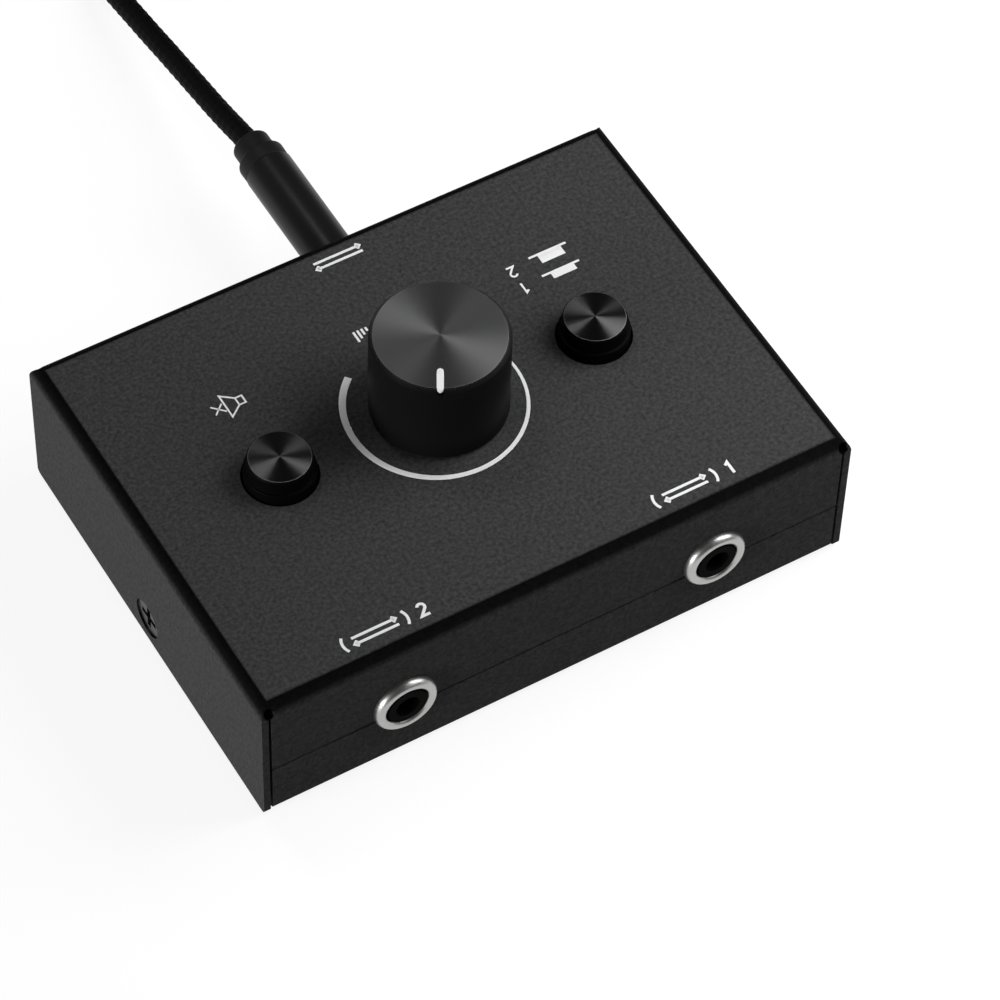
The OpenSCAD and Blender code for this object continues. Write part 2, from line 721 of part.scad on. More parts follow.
// Two clips let into the sides of the sliding block
module button_contacts(x) {
    color([0.85, 0.68, 0.3]) translate([x, 0, 0]) for (s = [-1, 1])
        translate([s * (block_w / 2 - clip_t / 2) - clip_t / 2, -block_w / 4, block_low + block_h / 3])
            cube([clip_t, block_w / 2, block_h / 3]);
}

module switch_housing(x) {
    inner_w = switch_w - 2 * switch_wall;
    gate_w = stem_w + 2 * slide_gap;
    color([0.2, 0.2, 0.22]) translate([x, 0, board_top]) difference() {
        translate([-switch_w / 2, -switch_w / 2, 0]) cube([switch_w, switch_w, switch_h]);
        translate([-inner_w / 2, -inner_w / 2, switch_wall])
            cube([inner_w, inner_w, switch_h - 2 * switch_wall]);
        translate([-gate_w / 2, -gate_w / 2, switch_wall]) cube([gate_w, gate_w, switch_h]);
    }
}

// Point i of the spring's helix, with z as a share of its rise
function helix_at(i) = let (a = 360 * i / spring_steps)
    [spring_r * cos(a), spring_r * sin(a), i / (spring_steps * spring_turns)];

module switch_spring(x) {
    low = switch_floor + spring_wire_r;
    rise = block_low - low;
    path = [for (i = [0:spring_steps * spring_turns]) let (p = helix_at(i)) [p[0], p[1], p[2] * rise]];
    color([0.75, 0.76, 0.78]) translate([x, 0, low]) tube(path, spring_wire_r, spring_sides);
}

// A straight wire that stands in the plunger's latch groove
module latch_pin(x) {
    color([0.78, 0.78, 0.8]) translate([x, latch_y, switch_floor])
        cylinder(r = latch_r, h = block_top - switch_floor);
}

module switch_terminals(x) {
    color([0.8, 0.8, 0.82]) for (p = switch_legs) translate([x + p[0], p[1], leg_end])
        cylinder(r = leg_r, h = board_top - leg_end);
}

// The moulded body with its round nose, the bore and a slot for each contact leaf
module jack_body(j) {
    low = -jack_axis_h;
    slot_w = leaf_w + 2 * leaf_gap;
    slot_x = bore_r - leaf_gap;
    slot_t = leaf_t + leaf_clear + 2 * leaf_gap;
    color([0.06, 0.06, 0.065]) place_jack(j) difference() {
        union() {
            translate([-jack_w / 2, jack_face, low])
                cube([jack_w, jack_end - jack_face, jack_axis_h + jack_top_h]);
            rotate([-90, 0, 0]) translate([0, 0, -nose_proud])
                cylinder(r = nose_r, h = nose_proud + jack_face + cut);
        }
        rotate([-90, 0, 0]) translate([0, 0, -nose_proud - cut])
            cylinder(r = bore_r, h = bore_depth + nose_proud + cut);
        for (l = leaves) translate([l[0] * (slot_x + slot_t / 2) - slot_t / 2, l[1] - slot_w / 2, low - cut])
            cube([slot_t, slot_w, jack_axis_h + cut + leaf_w / 2 + leaf_gap]);
    }
}

// A nickel ring with a round front, flat against the case
module jack_ring(j) {
    inner_r = nose_r + ring_gap;
    bead_r = (ring_r - inner_r) / 2;
    color([0.83, 0.83, 0.84]) place_jack(j) rotate([90, 0, 0]) rotate_extrude() intersection() {
        square([ring_r + cut, ring_h + cut]);
        union() {
            translate([inner_r, -cut]) square([2 * bead_r, ring_h - bead_r + cut]);
            translate([inner_r + bead_r, ring_h - bead_r]) circle(bead_r);
        }
    }
}

module jack_contacts(j) {
    low = leg_end - jack_z;
    color([0.85, 0.7, 0.35]) place_jack(j) for (l = leaves)
        translate([l[0] * (leaf_x + leaf_t / 2) - leaf_t / 2, l[1] - leaf_w / 2, low])
            cube([leaf_t, leaf_w, leaf_w / 2 - low]);
}

// Frames of the two plugs: z runs from the barrel's shoulder to the tip
module place_plug(far) {
    translate(far ? far_plug_at : plug_at) rotate(far ? [0, -90, 0] : [90, 0, 0]) children();
}

// The tip with its centre wire, the ring, and the sleeve with its collar inside the barrel
module pin_contacts(far) {
    tip_z = pin_l - tip_l;
    ring_z = sleeve_end + insulator_l;
    hole_r = pin_core_r + shaft_fit;
    groove_r = pin_r - leaf_t;
    collar_r = barrel_r - barrel_t - ring_gap;
    collar_h = 2 * barrel_t;
    color([0.8, 0.8, 0.78]) place_plug(far) {
        rotate_extrude() polygon([
            [0, -barrel_t - collar_h], [pin_core_r, -barrel_t - collar_h], [pin_core_r, tip_z],
            [pin_r, tip_z], [pin_r, tip_z + tip_l / 4], [groove_r, tip_z + tip_l / 2],
            [pin_r, tip_z + tip_l * 3 / 4], [pin_core_r, pin_l], [0, pin_l]
        ]);
        translate([0, 0, ring_z]) difference() {
            cylinder(r = pin_r, h = ring_contact_l);
            translate([0, 0, -cut]) cylinder(r = hole_r, h = ring_contact_l + 2 * cut);
        }
        rotate_extrude() polygon([
            [hole_r, -barrel_t - collar_h], [collar_r, -barrel_t - collar_h], [collar_r, -barrel_t],
            [pin_r - neck_d, -barrel_t], [pin_r - neck_d, neck_l], [pin_r, neck_l],
            [pin_r, sleeve_end], [hole_r, sleeve_end]
        ]);
    }
}

module pin_insulators(far) {
    color([0.6, 0.05, 0.06]) place_plug(far)
        for (z = [sleeve_end, pin_l - tip_l - insulator_l]) translate([0, 0, z]) difference() {
            cylinder(r = pin_r, h = insulator_l);
            translate([0, 0, -cut]) cylinder(r = pin_core_r + shaft_fit, h = insulator_l + 2 * cut);
        }
}

module barrel(far) {
    color([0.13, 0.13, 0.135]) place_plug(far) translate([0, 0, -barrel_l]) difference() {
        cylinder(r = barrel_r, h = barrel_l);
        translate([0, 0, -cut]) cylinder(r = barrel_r - barrel_t, h = barrel_l - barrel_t + cut);
        cylinder(r = pin_r + mouth_gap, h = barrel_l + cut);
    }
}

// The boot: a spigot inside the barrel, a collar against it and a round-ended tail
module boot(far) {
    spigot_l = boot_l / 2;
    spigot_r = barrel_r - barrel_t - ring_gap;
    nose_edge = (boot_r - cord_r) / 2;
    color([0.1, 0.1, 0.1]) place_plug(far) translate([0, 0, -barrel_l - boot_l]) rotate_extrude() polygon([
        [0, 0], [boot_r - nose_edge, 0], [boot_r, nose_edge],
        [boot_r, boot_l - collar_l], [barrel_r - ring_gap, boot_l - collar_l], [barrel_r - ring_gap, boot_l],
        [spigot_r, boot_l], [spigot_r, boot_l + spigot_l], [0, boot_l + spigot_l]
    ]);
}

// Unit direction of a path at point i, and a ring of points square to it
function unit(v) = v / norm(v);
function heading(path, i) = unit(path[min(i + 1, len(path) - 1)] - path[max(i - 1, 0)]);
function ring_at(path, i, r, sides, t) = let (
    across = unit(cross(t, [0, 0, 1])),
    up = cross(across, t)
) [for (k = [0:sides - 1]) let (a = 360 * k / sides) path[i] + r * (cos(a) * across + sin(a) * up)];

// A round tube swept along a path, with flat ends; start and end may set the end directions
module tube(path, r, sides, start = undef, end = undef) {
    n = len(path);
    headings = [for (i = [0:n - 1])
        i == 0 && start != undef ? start : i == n - 1 && end != undef ? end : heading(path, i)];
    points = [for (i = [0:n - 1], p = ring_at(path, i, r, sides, headings[i])) p];
    walls = [for (i = [0:n - 2], k = [0:sides - 1]) let (
        a = i * sides + k,
        b = i * sides + (k + 1) % sides,
        c = b + sides,
        d = a + sides
    ) each [[a, b, c], [a, c, d]]];
    first = [for (k = [sides - 1:-1:0]) k];
    last = [for (k = [0:sides - 1]) (n - 1) * sides + k];
    polyhedron(points = points, faces = concat(walls, [first, last]));
}

module lead_cord() {
    color([0.05, 0.05, 0.05]) tube(lead_route, cord_r, cord_sides, start = [0, 1, 0], end = [0, 1, 0]);
}

module lead_tail() {
    color([0.05, 0.05, 0.05]) tube(tail_route, cord_r, cord_sides, end = [-1, 0, 0]);
}

// Outline of the coil's two layers of turns
module coil_section() {
    low_in = coil_low_rs[0] - cord_r;
    low_out = coil_low_rs[1] + cord_r;
    high_in = coil_high_rs[0] - cord_r;
    high_out = coil_high_rs[1] + cord_r;
    edge = cord_r / 2;
    polygon([
        [low_in + edge, coil_z], [low_out - edge, coil_z],
        [low_out, coil_z + edge], [low_out, coil_low_z + edge],
        [high_out, coil_high_z], [high_out - edge, coil_top],
        [high_in + edge, coil_top], [high_in, coil_high_z],
        [low_in, coil_low_z + edge], [low_in, coil_z + edge]
    ]);
}

module lead_coil() {
    color([0.05, 0.05, 0.05]) translate(coil_at) rotate_extrude() coil_section();
}

// A closed band around the coil's section, on the side away from the case
module lead_tie() {
    inner = [coil_low_rs[0] - cord_r - case_gap, coil_low_rs[1] + cord_r + case_gap];
    inner_w = inner[1] - inner[0];
    inner_h = coil_top - coil_z + 2 * case_gap;
    color([0.15, 0.15, 0.16]) translate(coil_at) rotate([0, 0, 90 - tie_half_angle])
        rotate_extrude(angle = 2 * tie_half_angle) difference() {
            translate([inner[0] - tie_t, 0]) square([inner_w + 2 * tie_t, inner_h + 2 * tie_t]);
            translate([inner[0], tie_t]) square([inner_w, inner_h]);
        }
}

top_cover();
bottom_tray();
case_screws();
rubber_feet();
circuit_board();
board_standoffs();
board_screws();
pot_wafers();
pot_housings();
pot_bush();
pot_terminals();
pot_washer();
pot_nut();
pot_shaft();
pot_rotors();
pot_wipers();
volume_knob();
knob_pointer();
knob_grub_screw();
button_cap(-button_x);  // mute_cap
button_plunger(-button_x);  // mute_plunger
button_contacts(-button_x);  // mute_contacts
switch_housing(-button_x);  // mute_housing
switch_spring(-button_x);  // mute_spring
latch_pin(-button_x);  // mute_latch_pin
switch_terminals(-button_x);  // mute_terminals
button_cap(button_x);  // selector_cap
button_plunger(button_x);  // selector_plunger
button_contacts(button_x);  // selector_contacts
switch_housing(button_x);  // selector_housing
switch_spring(button_x);  // selector_spring
latch_pin(button_x);  // selector_latch_pin
switch_terminals(button_x);  // selector_terminals
jack_body(left_jack);  // left_jack_body
jack_ring(left_jack);  // left_jack_ring
jack_contacts(left_jack);  // left_jack_contacts
jack_body(right_jack);  // right_jack_body
jack_ring(right_jack);  // right_jack_ring
jack_contacts(right_jack);  // right_jack_contacts
jack_body(rear_jack);  // rear_jack_body
jack_ring(rear_jack);  // rear_jack_ring
jack_contacts(rear_jack);  // rear_jack_contacts
pin_contacts(false);  // plug_contacts
pin_insulators(false);  // plug_insulators
barrel(false);  // plug_barrel
boot(false);  // plug_boot
lead_cord();
lead_coil();
lead_tie();
lead_tail();
pin_contacts(true);  // far_plug_contacts
pin_insulators(true);  // far_plug_insulators
barrel(true);  // far_plug_barrel
boot(true);  // far_plug_boot
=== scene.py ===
# %% [markdown]
# A speaker selector switch, dressed for the camera. The imported model gives every rigid piece its place,
# so the script only has to add what the eye looks for: a braided lead, spun metal tops, bright rings,
# white prints and a fine black coat. The frame is loaded first.

# %% Load the frame
import json
import math

import bpy
import numpy as np
from mathutils import Matrix, Vector


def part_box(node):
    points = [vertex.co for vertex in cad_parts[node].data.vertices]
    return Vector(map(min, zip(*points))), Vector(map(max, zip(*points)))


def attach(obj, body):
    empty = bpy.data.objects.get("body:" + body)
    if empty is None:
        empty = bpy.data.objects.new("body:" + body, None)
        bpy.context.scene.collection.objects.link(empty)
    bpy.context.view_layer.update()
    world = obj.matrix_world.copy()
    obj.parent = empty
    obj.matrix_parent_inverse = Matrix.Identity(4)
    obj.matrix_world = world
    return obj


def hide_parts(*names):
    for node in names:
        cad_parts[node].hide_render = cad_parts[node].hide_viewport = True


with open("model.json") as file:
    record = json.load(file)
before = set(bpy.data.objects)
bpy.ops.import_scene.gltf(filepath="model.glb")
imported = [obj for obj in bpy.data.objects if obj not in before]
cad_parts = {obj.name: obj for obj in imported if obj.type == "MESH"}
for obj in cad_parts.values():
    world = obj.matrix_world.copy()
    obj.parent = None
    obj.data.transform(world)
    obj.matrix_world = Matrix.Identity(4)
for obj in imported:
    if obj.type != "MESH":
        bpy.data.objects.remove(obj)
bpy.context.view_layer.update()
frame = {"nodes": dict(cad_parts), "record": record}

MM = 0.001
NODES = frame["nodes"]

# %% [markdown]
# The camera stands where the photograph was taken from. A pinhole camera was fitted to the corners of the
# case, which gives a long lens, two thirds of a metre away, above the front left corner. Its three axes are
# written as vectors, and two cross products make them square to each other.

# %% Camera
SENSOR = 36
LENS = 171.2
EYE = Vector((-202.5, -339.3, 528.7)) * MM
AIM = Vector((0.319, 0.5087, -0.7997)).normalized()
ACROSS = Vector((0.8623, -0.5058, 0.0223))

scene = bpy.context.scene
camera_up = ACROSS.cross(AIM).normalized()
camera_across = AIM.cross(camera_up).normalized()
camera_data = bpy.data.cameras.new("photo_camera")
camera_data.lens = LENS
camera_data.sensor_width = SENSOR
camera_data.clip_start = 1 * MM
camera = bpy.data.objects.new("photo_camera", camera_data)
turn = Matrix((camera_across, camera_up, -AIM)).transposed()
camera.matrix_world = Matrix.Translation(EYE) @ turn.to_4x4()
scene.collection.objects.link(camera)
scene.camera = camera
print(f"camera {EYE.length:.3f} m from the origin, lens {LENS} mm")

# %% [markdown]
# Every new piece is a surface worked out with numpy, so one helper turns arrays into a mesh object. It takes
# points, faces and a UV pair for each corner of each face. Sharp folds are found from the angle between
# faces, and the signed volume is printed: it is positive only when the faces point outwards.

# %% Meshes from arrays
SHARP = math.radians(38)


def signed_volume(points, faces):
    """Sum over all triangles of a fan of each face: a . (b x c) / 6."""
    total = 0.0
    for size in {len(f) for f in faces}:
        corners = points[np.array([f for f in faces if len(f) == size])]
        for k in range(1, size - 1):
            cross = np.cross(corners[:, k], corners[:, k + 1])
            total += float(np.einsum("ij,ij->", corners[:, 0], cross)) / 6
    return total


def make_piece(name, points, faces, uvs=None):
    """A mesh object at the origin from an array of points, lists of corners and one UV pair per corner."""
    mesh = bpy.data.meshes.new(name)
    mesh.from_pydata(points.tolist(), [], faces)
    if uvs is not None:
        layer = mesh.uv_layers.new(name="turn")
        layer.data.foreach_set("uv", np.asarray(uvs, np.float32).ravel())
    mesh.shade_smooth()
    mesh.set_sharp_from_angle(angle=SHARP)
    mesh.update()
    piece = bpy.data.objects.new(name, mesh)
    scene.collection.objects.link(piece)
    volume = signed_volume(points, faces) / MM ** 3
    print(f"{name}: {len(points)} points, {len(faces)} faces, {volume:.2f} mm3")
    return piece


def grid_faces(rows, columns, first=0):
    """Four-cornered faces of a grid whose columns run round and close, and the UV pairs of their corners."""
    row, column = np.meshgrid(np.arange(rows - 1), np.arange(columns), indexing="ij")
    after = (column + 1) % columns
    faces = np.stack([row * columns + column, row * columns + after,
                      (row + 1) * columns + after, (row + 1) * columns + column], -1)
    u = np.stack([column, column + 1, column + 1, column], -1) / columns
    v = np.stack([row, row, row + 1, row + 1], -1)
    return (faces + first).reshape(-1, 4), u.reshape(-1, 4), v.reshape(-1, 4)


# %% [markdown]
# The lead is settled before anything else, because its length decides how much room the model takes. The
# photograph shows the first 70 mm of it, plug included, so the rest of a 3 ft lead is wound in a coil out
# of view. The listed points are those of the solid model. The coil is worked out: four turns on the
# floor going inwards, then three turns back out in the hollows between them. Each turn keeps its radius
# until a short sector, where all of them step sideways by one diameter, as in a coil wound by hand.

# %% Route of the lead
CORD_R = 1.75 * MM
LEAD_ROUTE = np.array([
    [4.8, 62.5, 11.7], [4.8, 65, 11.2], [4.8, 68.5, 10.3], [4.8, 73, 9.3],
    [4.8, 78, 8.4], [4.8, 83, 7.5], [4.8, 88, 6.6], [4.8, 93, 5.6],
    [4.8, 98.5, 4.6], [4.8, 104, 3.6], [4.8, 109, 2.8], [4.8, 114.5, 2.3],
    [4.8, 120, 2.1], [4.8, 127, 2.4],
]) * MM
TAIL_ROUTE = np.array([
    [48.4, 144.3, 5.4], [51.4, 139.8, 6.6], [52.5, 134.4, 8.4], [51.4, 129, 9.8],
    [48.4, 124.5, 10.6], [44, 121.7, 10.9], [39.5, 120.5, 10.9], [35.5, 120.4, 10.9],
]) * MM
LOW_TURNS = 4
HIGH_TURNS = 3
TURN_STEP = 2 * CORD_R
STEP_START = 140
STEP_SWEEP = 100
LEAVE_AT = 45
COIL_FROM = 3
COIL_EVERY = 5.0


def ease(t):
    """0 below 0, 1 above 1 and the smooth cubic 3t2 - 2t3 between."""
    t = np.clip(t, 0, 1)
    return t * t * (3 - 2 * t)


def coil_route(start, inner):
    """Clockwise turns from the left: radius and height change in one sector of each turn.

    All angles are in degrees. In the sector, the floor turns move in by one diameter, the last of them
    rolls up over its neighbour through 120 degrees, and the upper turns move out. An upper turn rests on
    the nearest floor turn, so its height is the other side of a triangle whose long side is one diameter.
    """
    travel = np.arange(COIL_FROM, 360 * (LOW_TURNS + HIGH_TURNS - 1) + 180 - LEAVE_AT, COIL_EVERY)
    steps = [ease((travel - STEP_START - 360 * k) / STEP_SWEEP) for k in range(LOW_TURNS + HIGH_TURNS - 1)]
    outer = inner + (LOW_TURNS - 1) * TURN_STEP
    moving_in = sum(steps[:LOW_TURNS - 1])
    climb = steps[LOW_TURNS - 1]
    moving_out = sum(steps[LOW_TURNS:])
    roll = math.pi * (1 - climb * 2 / 3)
    rolled = TURN_STEP * (1 + np.cos(roll)) - TURN_STEP * climb
    radius = outer - TURN_STEP * moving_in + rolled + TURN_STEP * moving_out
    aside = np.abs((2 * moving_out) % 1 - 0.5) * TURN_STEP
    resting = np.sqrt(TURN_STEP ** 2 - aside ** 2)
    lift = np.where(climb < 1, TURN_STEP * np.sin(roll), resting)
    angle = np.radians(180 - travel)
    x = start[0] + outer + radius * np.cos(angle)
    y = start[1] + radius * np.sin(angle)
    return np.stack([x, y, start[2] + lift], 1)


IN_BOOT = 1.5 * MM
coil_low, coil_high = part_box("lead_coil")
COIL_INNER = (coil_high.x - coil_low.x) / 2 - CORD_R - (LOW_TURNS - 1) * TURN_STEP
waypoints = np.concatenate([LEAD_ROUTE[:1] - [[0, IN_BOOT, 0]], LEAD_ROUTE,
                            coil_route(LEAD_ROUTE[-1], COIL_INNER),
                            TAIL_ROUTE, TAIL_ROUTE[-1:] - [[IN_BOOT, 0, 0]]])
print(f"{len(waypoints)} waypoints, inner turn of the coil {COIL_INNER / MM:.2f} mm")

# %% [markdown]
# The waypoints are only corners. A smooth curve goes through all of them, as a bent cord does, and rings are
# then set along it at even distances. They lie close together where the lead can be seen near the case, and
# wider apart in the coil, which saves faces.

# %% Curve through the waypoints
SPAN_POINTS = 24
SHOWN = 85 * MM
FINE_STEP = 0.2 * MM
COARSE_STEP = 0.42 * MM


def smooth_route(points, spacing):
    """Points along a Catmull-Rom curve: each span is the cubic whose end slopes follow its neighbours."""
    ahead = np.concatenate([points[1:], 2 * points[-1:] - points[-2:-1]])
    behind = np.concatenate([2 * points[:1] - points[1:2], points[:-1]])
    length = np.linalg.norm(np.diff(points, axis=0), axis=1)
    step_ahead = np.append(length, length[-1])[:, None]
    step_behind = np.append(length[0], length)[:, None]
    slope = ((ahead - points) / step_ahead * step_behind + (points - behind) / step_behind * step_ahead)
    slope = slope / (step_ahead + step_behind)
    t = np.linspace(0, 1, SPAN_POINTS, endpoint=False)[None, :, None]
    p, q = points[:-1, None], points[1:, None]
    m, n = slope[:-1, None] * length[:, None, None], slope[1:, None] * length[:, None, None]
    dense = (2 * t**3 - 3 * t**2 + 1) * p + (t**3 - 2 * t**2 + t) * m
    dense = dense + (3 * t**2 - 2 * t**3) * q + (t**3 - t**2) * n
    dense = np.concatenate([dense.reshape(-1, 3), points[-1:]])
    run = np.append(0, np.cumsum(np.linalg.norm(np.diff(dense, axis=0), axis=1)))
    marks = spacing(run[-1])
    return np.stack([np.interp(marks, run, dense[:, k]) for k in range(3)], 1), marks


def ring_marks(total):
    """Distances of the rings: close together where the lead can be seen near the case, wider in the coil."""
    return np.concatenate([np.arange(0, SHOWN, FINE_STEP), np.arange(SHOWN, total, COARSE_STEP), [total]])


lead_path, lead_marks = smooth_route(waypoints, ring_marks)
print(f"lead: {lead_marks[-1]:.3f} m on {len(lead_path)} rings")

# %% [markdown]
# The sleeve is a braid: two families of strands wind round the cord in opposite senses. Where the product
# of two sines is high, a strand of one family lies on top, and where it is low, it dives under the other.
# Modelling each strand would need millions of faces, so the braid is a small change of the tube's radius,
# and the material adds the single threads on the tube's own UV map.

# %% Lead with its braided sleeve
SIDES = 36
STRANDS = 12
BRAID_PITCH = 1.7 * MM
BRAID_DEPTH = 0.16 * MM


def braided_tube(path, marks, radius):
    """Rings square to the path; radius falls by the depth times half of 1 - sin(a + b) sin(a - b).

    a counts strands round the cord and b counts pitches along it.
    """
    heading = np.gradient(path, marks, axis=0)
    heading /= np.linalg.norm(heading, axis=1, keepdims=True)
    across = np.cross(heading, [0, 0, 1])
    across /= np.linalg.norm(across, axis=1, keepdims=True)
    down = np.cross(heading, across)
    angle = np.arange(SIDES) * 2 * np.pi / SIDES
    a = STRANDS / 2 * angle[None, :]
    b = np.pi * marks[:, None] / BRAID_PITCH
    r = radius - BRAID_DEPTH * (1 - np.sin(a + b) * np.sin(a - b)) / 2
    return path[:, None] + r[..., None] * (np.cos(angle)[None, :, None] * across[:, None]
                                           + np.sin(angle)[None, :, None] * down[:, None])


rings = braided_tube(lead_path, lead_marks, CORD_R)
lead_faces, lead_u, lead_v = grid_faces(len(rings), SIDES)
lead_uvs = np.stack([lead_u, lead_marks[lead_v] / MM], -1)
ends = [list(range(SIDES))[::-1], [len(rings) * SIDES - SIDES + k for k in range(SIDES)]]
end_uvs = np.zeros((2 * SIDES, 2))
lead = make_piece("braided_lead", rings.reshape(-1, 3), lead_faces.tolist() + ends,
                  np.concatenate([lead_uvs.reshape(-1, 2), end_uvs]))
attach(lead, "lead")
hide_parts("lead_cord", "lead_coil", "lead_tail")

# %% [markdown]
# Knob faces, button caps, ring nuts, barrels and boots are all turned parts: one outline carried round an
# axis. An outline is a few corners, each with the radius of its rounding. A corner becomes a short curve
# between the two points where the rounding starts and ends, so edges catch the light as machined ones do.

# %% Turned parts
CURVE_STEPS = np.linspace(0, 1, 7)[:, None]
EDGE_SHARE = 0.49


def outline(corners):
    """Corners (radius, height, rounding) in mm to points: each rounding is a parabola inside its corner.

    A rounding takes less than half of the edges beside it, so that two of them never cross.
    """
    spots = np.array([c[:2] for c in corners], float)
    rows = [spots[:1]]
    for before, here, after, corner in zip(spots, spots[1:], spots[2:], corners[1:-1]):
        into, out = before - here, after - here
        reach = min(corner[2], EDGE_SHARE * np.linalg.norm(into), EDGE_SHARE * np.linalg.norm(out))
        if reach <= 0:
            rows.append(here[None])
            continue
        start = here + into / np.linalg.norm(into) * reach
        end = here + out / np.linalg.norm(out) * reach
        t = CURVE_STEPS
        rows.append((1 - t) ** 2 * start + 2 * t * (1 - t) * here + t ** 2 * end)
    rows.append(spots[-1:])
    return np.concatenate(rows) * MM


def turned(name, profile, origin, axis, sides):
    """Carry an outline of (radius, height) round an axis: point = origin + r (cos a, sin a) + h axis.

    An outline that starts or ends on the axis is closed by a fan of triangles. One that ends where it
    starts is a ring, whose last row of points is its first.
    """
    axis = np.array(axis, float)
    side = np.array([0, 0, 1.0]) if abs(axis[2]) < 0.5 else np.array([1.0, 0, 0])
    other = np.cross(axis, side)
    angle = np.arange(sides) * 2 * np.pi / sides
    spoke = np.cos(angle)[:, None] * side + np.sin(angle)[:, None] * other
    low_pole, high_pole = profile[0, 0] == 0, profile[-1, 0] == 0
    body = profile[1 if low_pole else 0:len(profile) - (1 if high_pole else 0)]
    points = origin + body[:, None, :1] * spoke + body[:, None, 1:] * axis
    faces, u, v = grid_faces(len(body), sides)
    run = np.append(0, np.cumsum(np.linalg.norm(np.diff(body, axis=0), axis=1))) / MM
    rows = len(body) - (1 if np.allclose(profile[0], profile[-1]) else 0)
    points = points[:rows].reshape(-1, 3)
    uvs = np.stack([run[v], u], -1).reshape(-1, 2)
    faces = (faces % (rows * sides)).tolist()
    ring = np.arange(sides)
    for pole, row, flip in ((low_pole, 0, True), (high_pole, len(body) - 1, False)):
        if not pole:
            continue
        end = profile[0] if flip else profile[-1]
        around = np.stack([ring + 1, ring] if flip else [ring, ring + 1], 1)
        fan = np.concatenate([row * sides + around % sides, np.full((sides, 1), len(points))], 1)
        points = np.concatenate([points, (origin + end[1] * axis)[None]])
        faces += fan.tolist()
        edge = np.full(sides, run[row])
        reach = edge + np.linalg.norm(body[row] - end) / MM
        corner_run = np.stack([edge, edge, reach], 1)
        corner_turn = np.concatenate([around, ring[:, None] + 0.5], 1) / sides
        uvs = np.concatenate([uvs, np.stack([corner_run, corner_turn], -1).reshape(-1, 2)])
    return make_piece(name, points, faces, uvs)


def middle(node):
    """Centre of a node's box."""
    low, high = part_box(node)
    return np.array((low + high) / 2)


# %% [markdown]
# The two buttons are small turned caps with a wide skirt that rises through the panel. The real ones are
# machined from bar and black anodised, with tool marks on top that run round the axis. The skirt and the
# top are one outline. The top is a very flat cone, a tenth of a millimetre high, so that the tool marks
# catch more light on the side that is nearest to the lamps.

# %% Button caps
CAP_R, CAP_TAPER, CAP_BEVEL, CROWN = 4.5, 0.1, 0.25, 0.1
SKIRT_R, SKIRT_H = 5, 1.6
SKIRT_ROUND, STEP_ROUND, EDGE_ROUND, TOP_ROUND = 0.35, 0.12, 0.1, 0.05
CAP_SIDES = 192
panel_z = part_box("top_cover")[1].z


def button_cap(name, node, body):
    """Skirt, wall, bevel and flat cone in one outline, with heights measured from the panel."""
    low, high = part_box(node)
    cap_h = (high.z - panel_z) / MM
    below = (low.z - panel_z) / MM
    rim = cap_h - CROWN
    corners = [(0, below, 0), (SKIRT_R, below, EDGE_ROUND), (SKIRT_R, SKIRT_H, SKIRT_ROUND),
               (CAP_R + CAP_TAPER, SKIRT_H, STEP_ROUND), (CAP_R, rim - CAP_BEVEL, EDGE_ROUND),
               (CAP_R - CAP_BEVEL, rim, TOP_ROUND), (0, cap_h, 0)]
    place = middle(node)
    place[2] = panel_z
    cap = turned(name, outline(corners), place, (0, 0, 1), CAP_SIDES)
    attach(cap, body)
    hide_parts(node)
    return cap


mute_button = button_cap("mute_button_cap", "mute_cap", "mute_button")
selector_button = button_cap("selector_button_cap", "selector_cap", "selector_button")

# %% [markdown]
# The knob's body keeps its solid, with the bevel, the hollow and the hole of its grub screw. Only the spun
# face is a new piece: a thin disc two hundredths of a millimetre above the solid, with a UV map whose first
# direction runs outwards. The finish stretches its highlights along that direction. The disc ends in a
# narrow cut edge, which shows as a bright line.

# %% Knob face
KNOB_BEVEL = 0.5
FACE_LIFT = 0.02
CUT_EDGE = 0.12
CUT_ROUND = 0.03
FACE_SIDES = 224
knob_low, knob_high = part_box("volume_knob")
knob_r = (knob_high.x - knob_low.x) / 2 / MM
face_r = knob_r - KNOB_BEVEL
face_at = middle("volume_knob")
face_at[2] = knob_high.z
face_corners = [(0, -FACE_LIFT, 0), (face_r - CUT_EDGE, -FACE_LIFT, 0), (face_r + CUT_EDGE, -CUT_EDGE, 0),
                (face_r - CUT_EDGE / 2, FACE_LIFT, CUT_ROUND), (0, FACE_LIFT, 0)]
knob_face = turned("knob_face", outline(face_corners), face_at, (0, 0, 1), FACE_SIDES)
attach(knob_face, "volume")

# %% [markdown]
# The pointer is an inlaid white bar with round ends. Such a line is usually a milled groove filled with
# paint. Here it is a low bar whose foot is sunk in the face, because a raised edge of a few hundredths of a
# millimetre looks like paint, and the knob's solid needs no groove.

# %% Pointer
POINTER_ENDS = (3.9, 0.1)
POINTER_WIDTH, POINTER_PROUD, POINTER_SUNK = 0.95, 0.05, 0.25
POINTER_TIP = 0.2
POINTER_REACH, POINTER_STEPS = 0.999, 41
ACROSS_BAR = np.array([-1, -1, -0.8, 0.8, 1, 1])


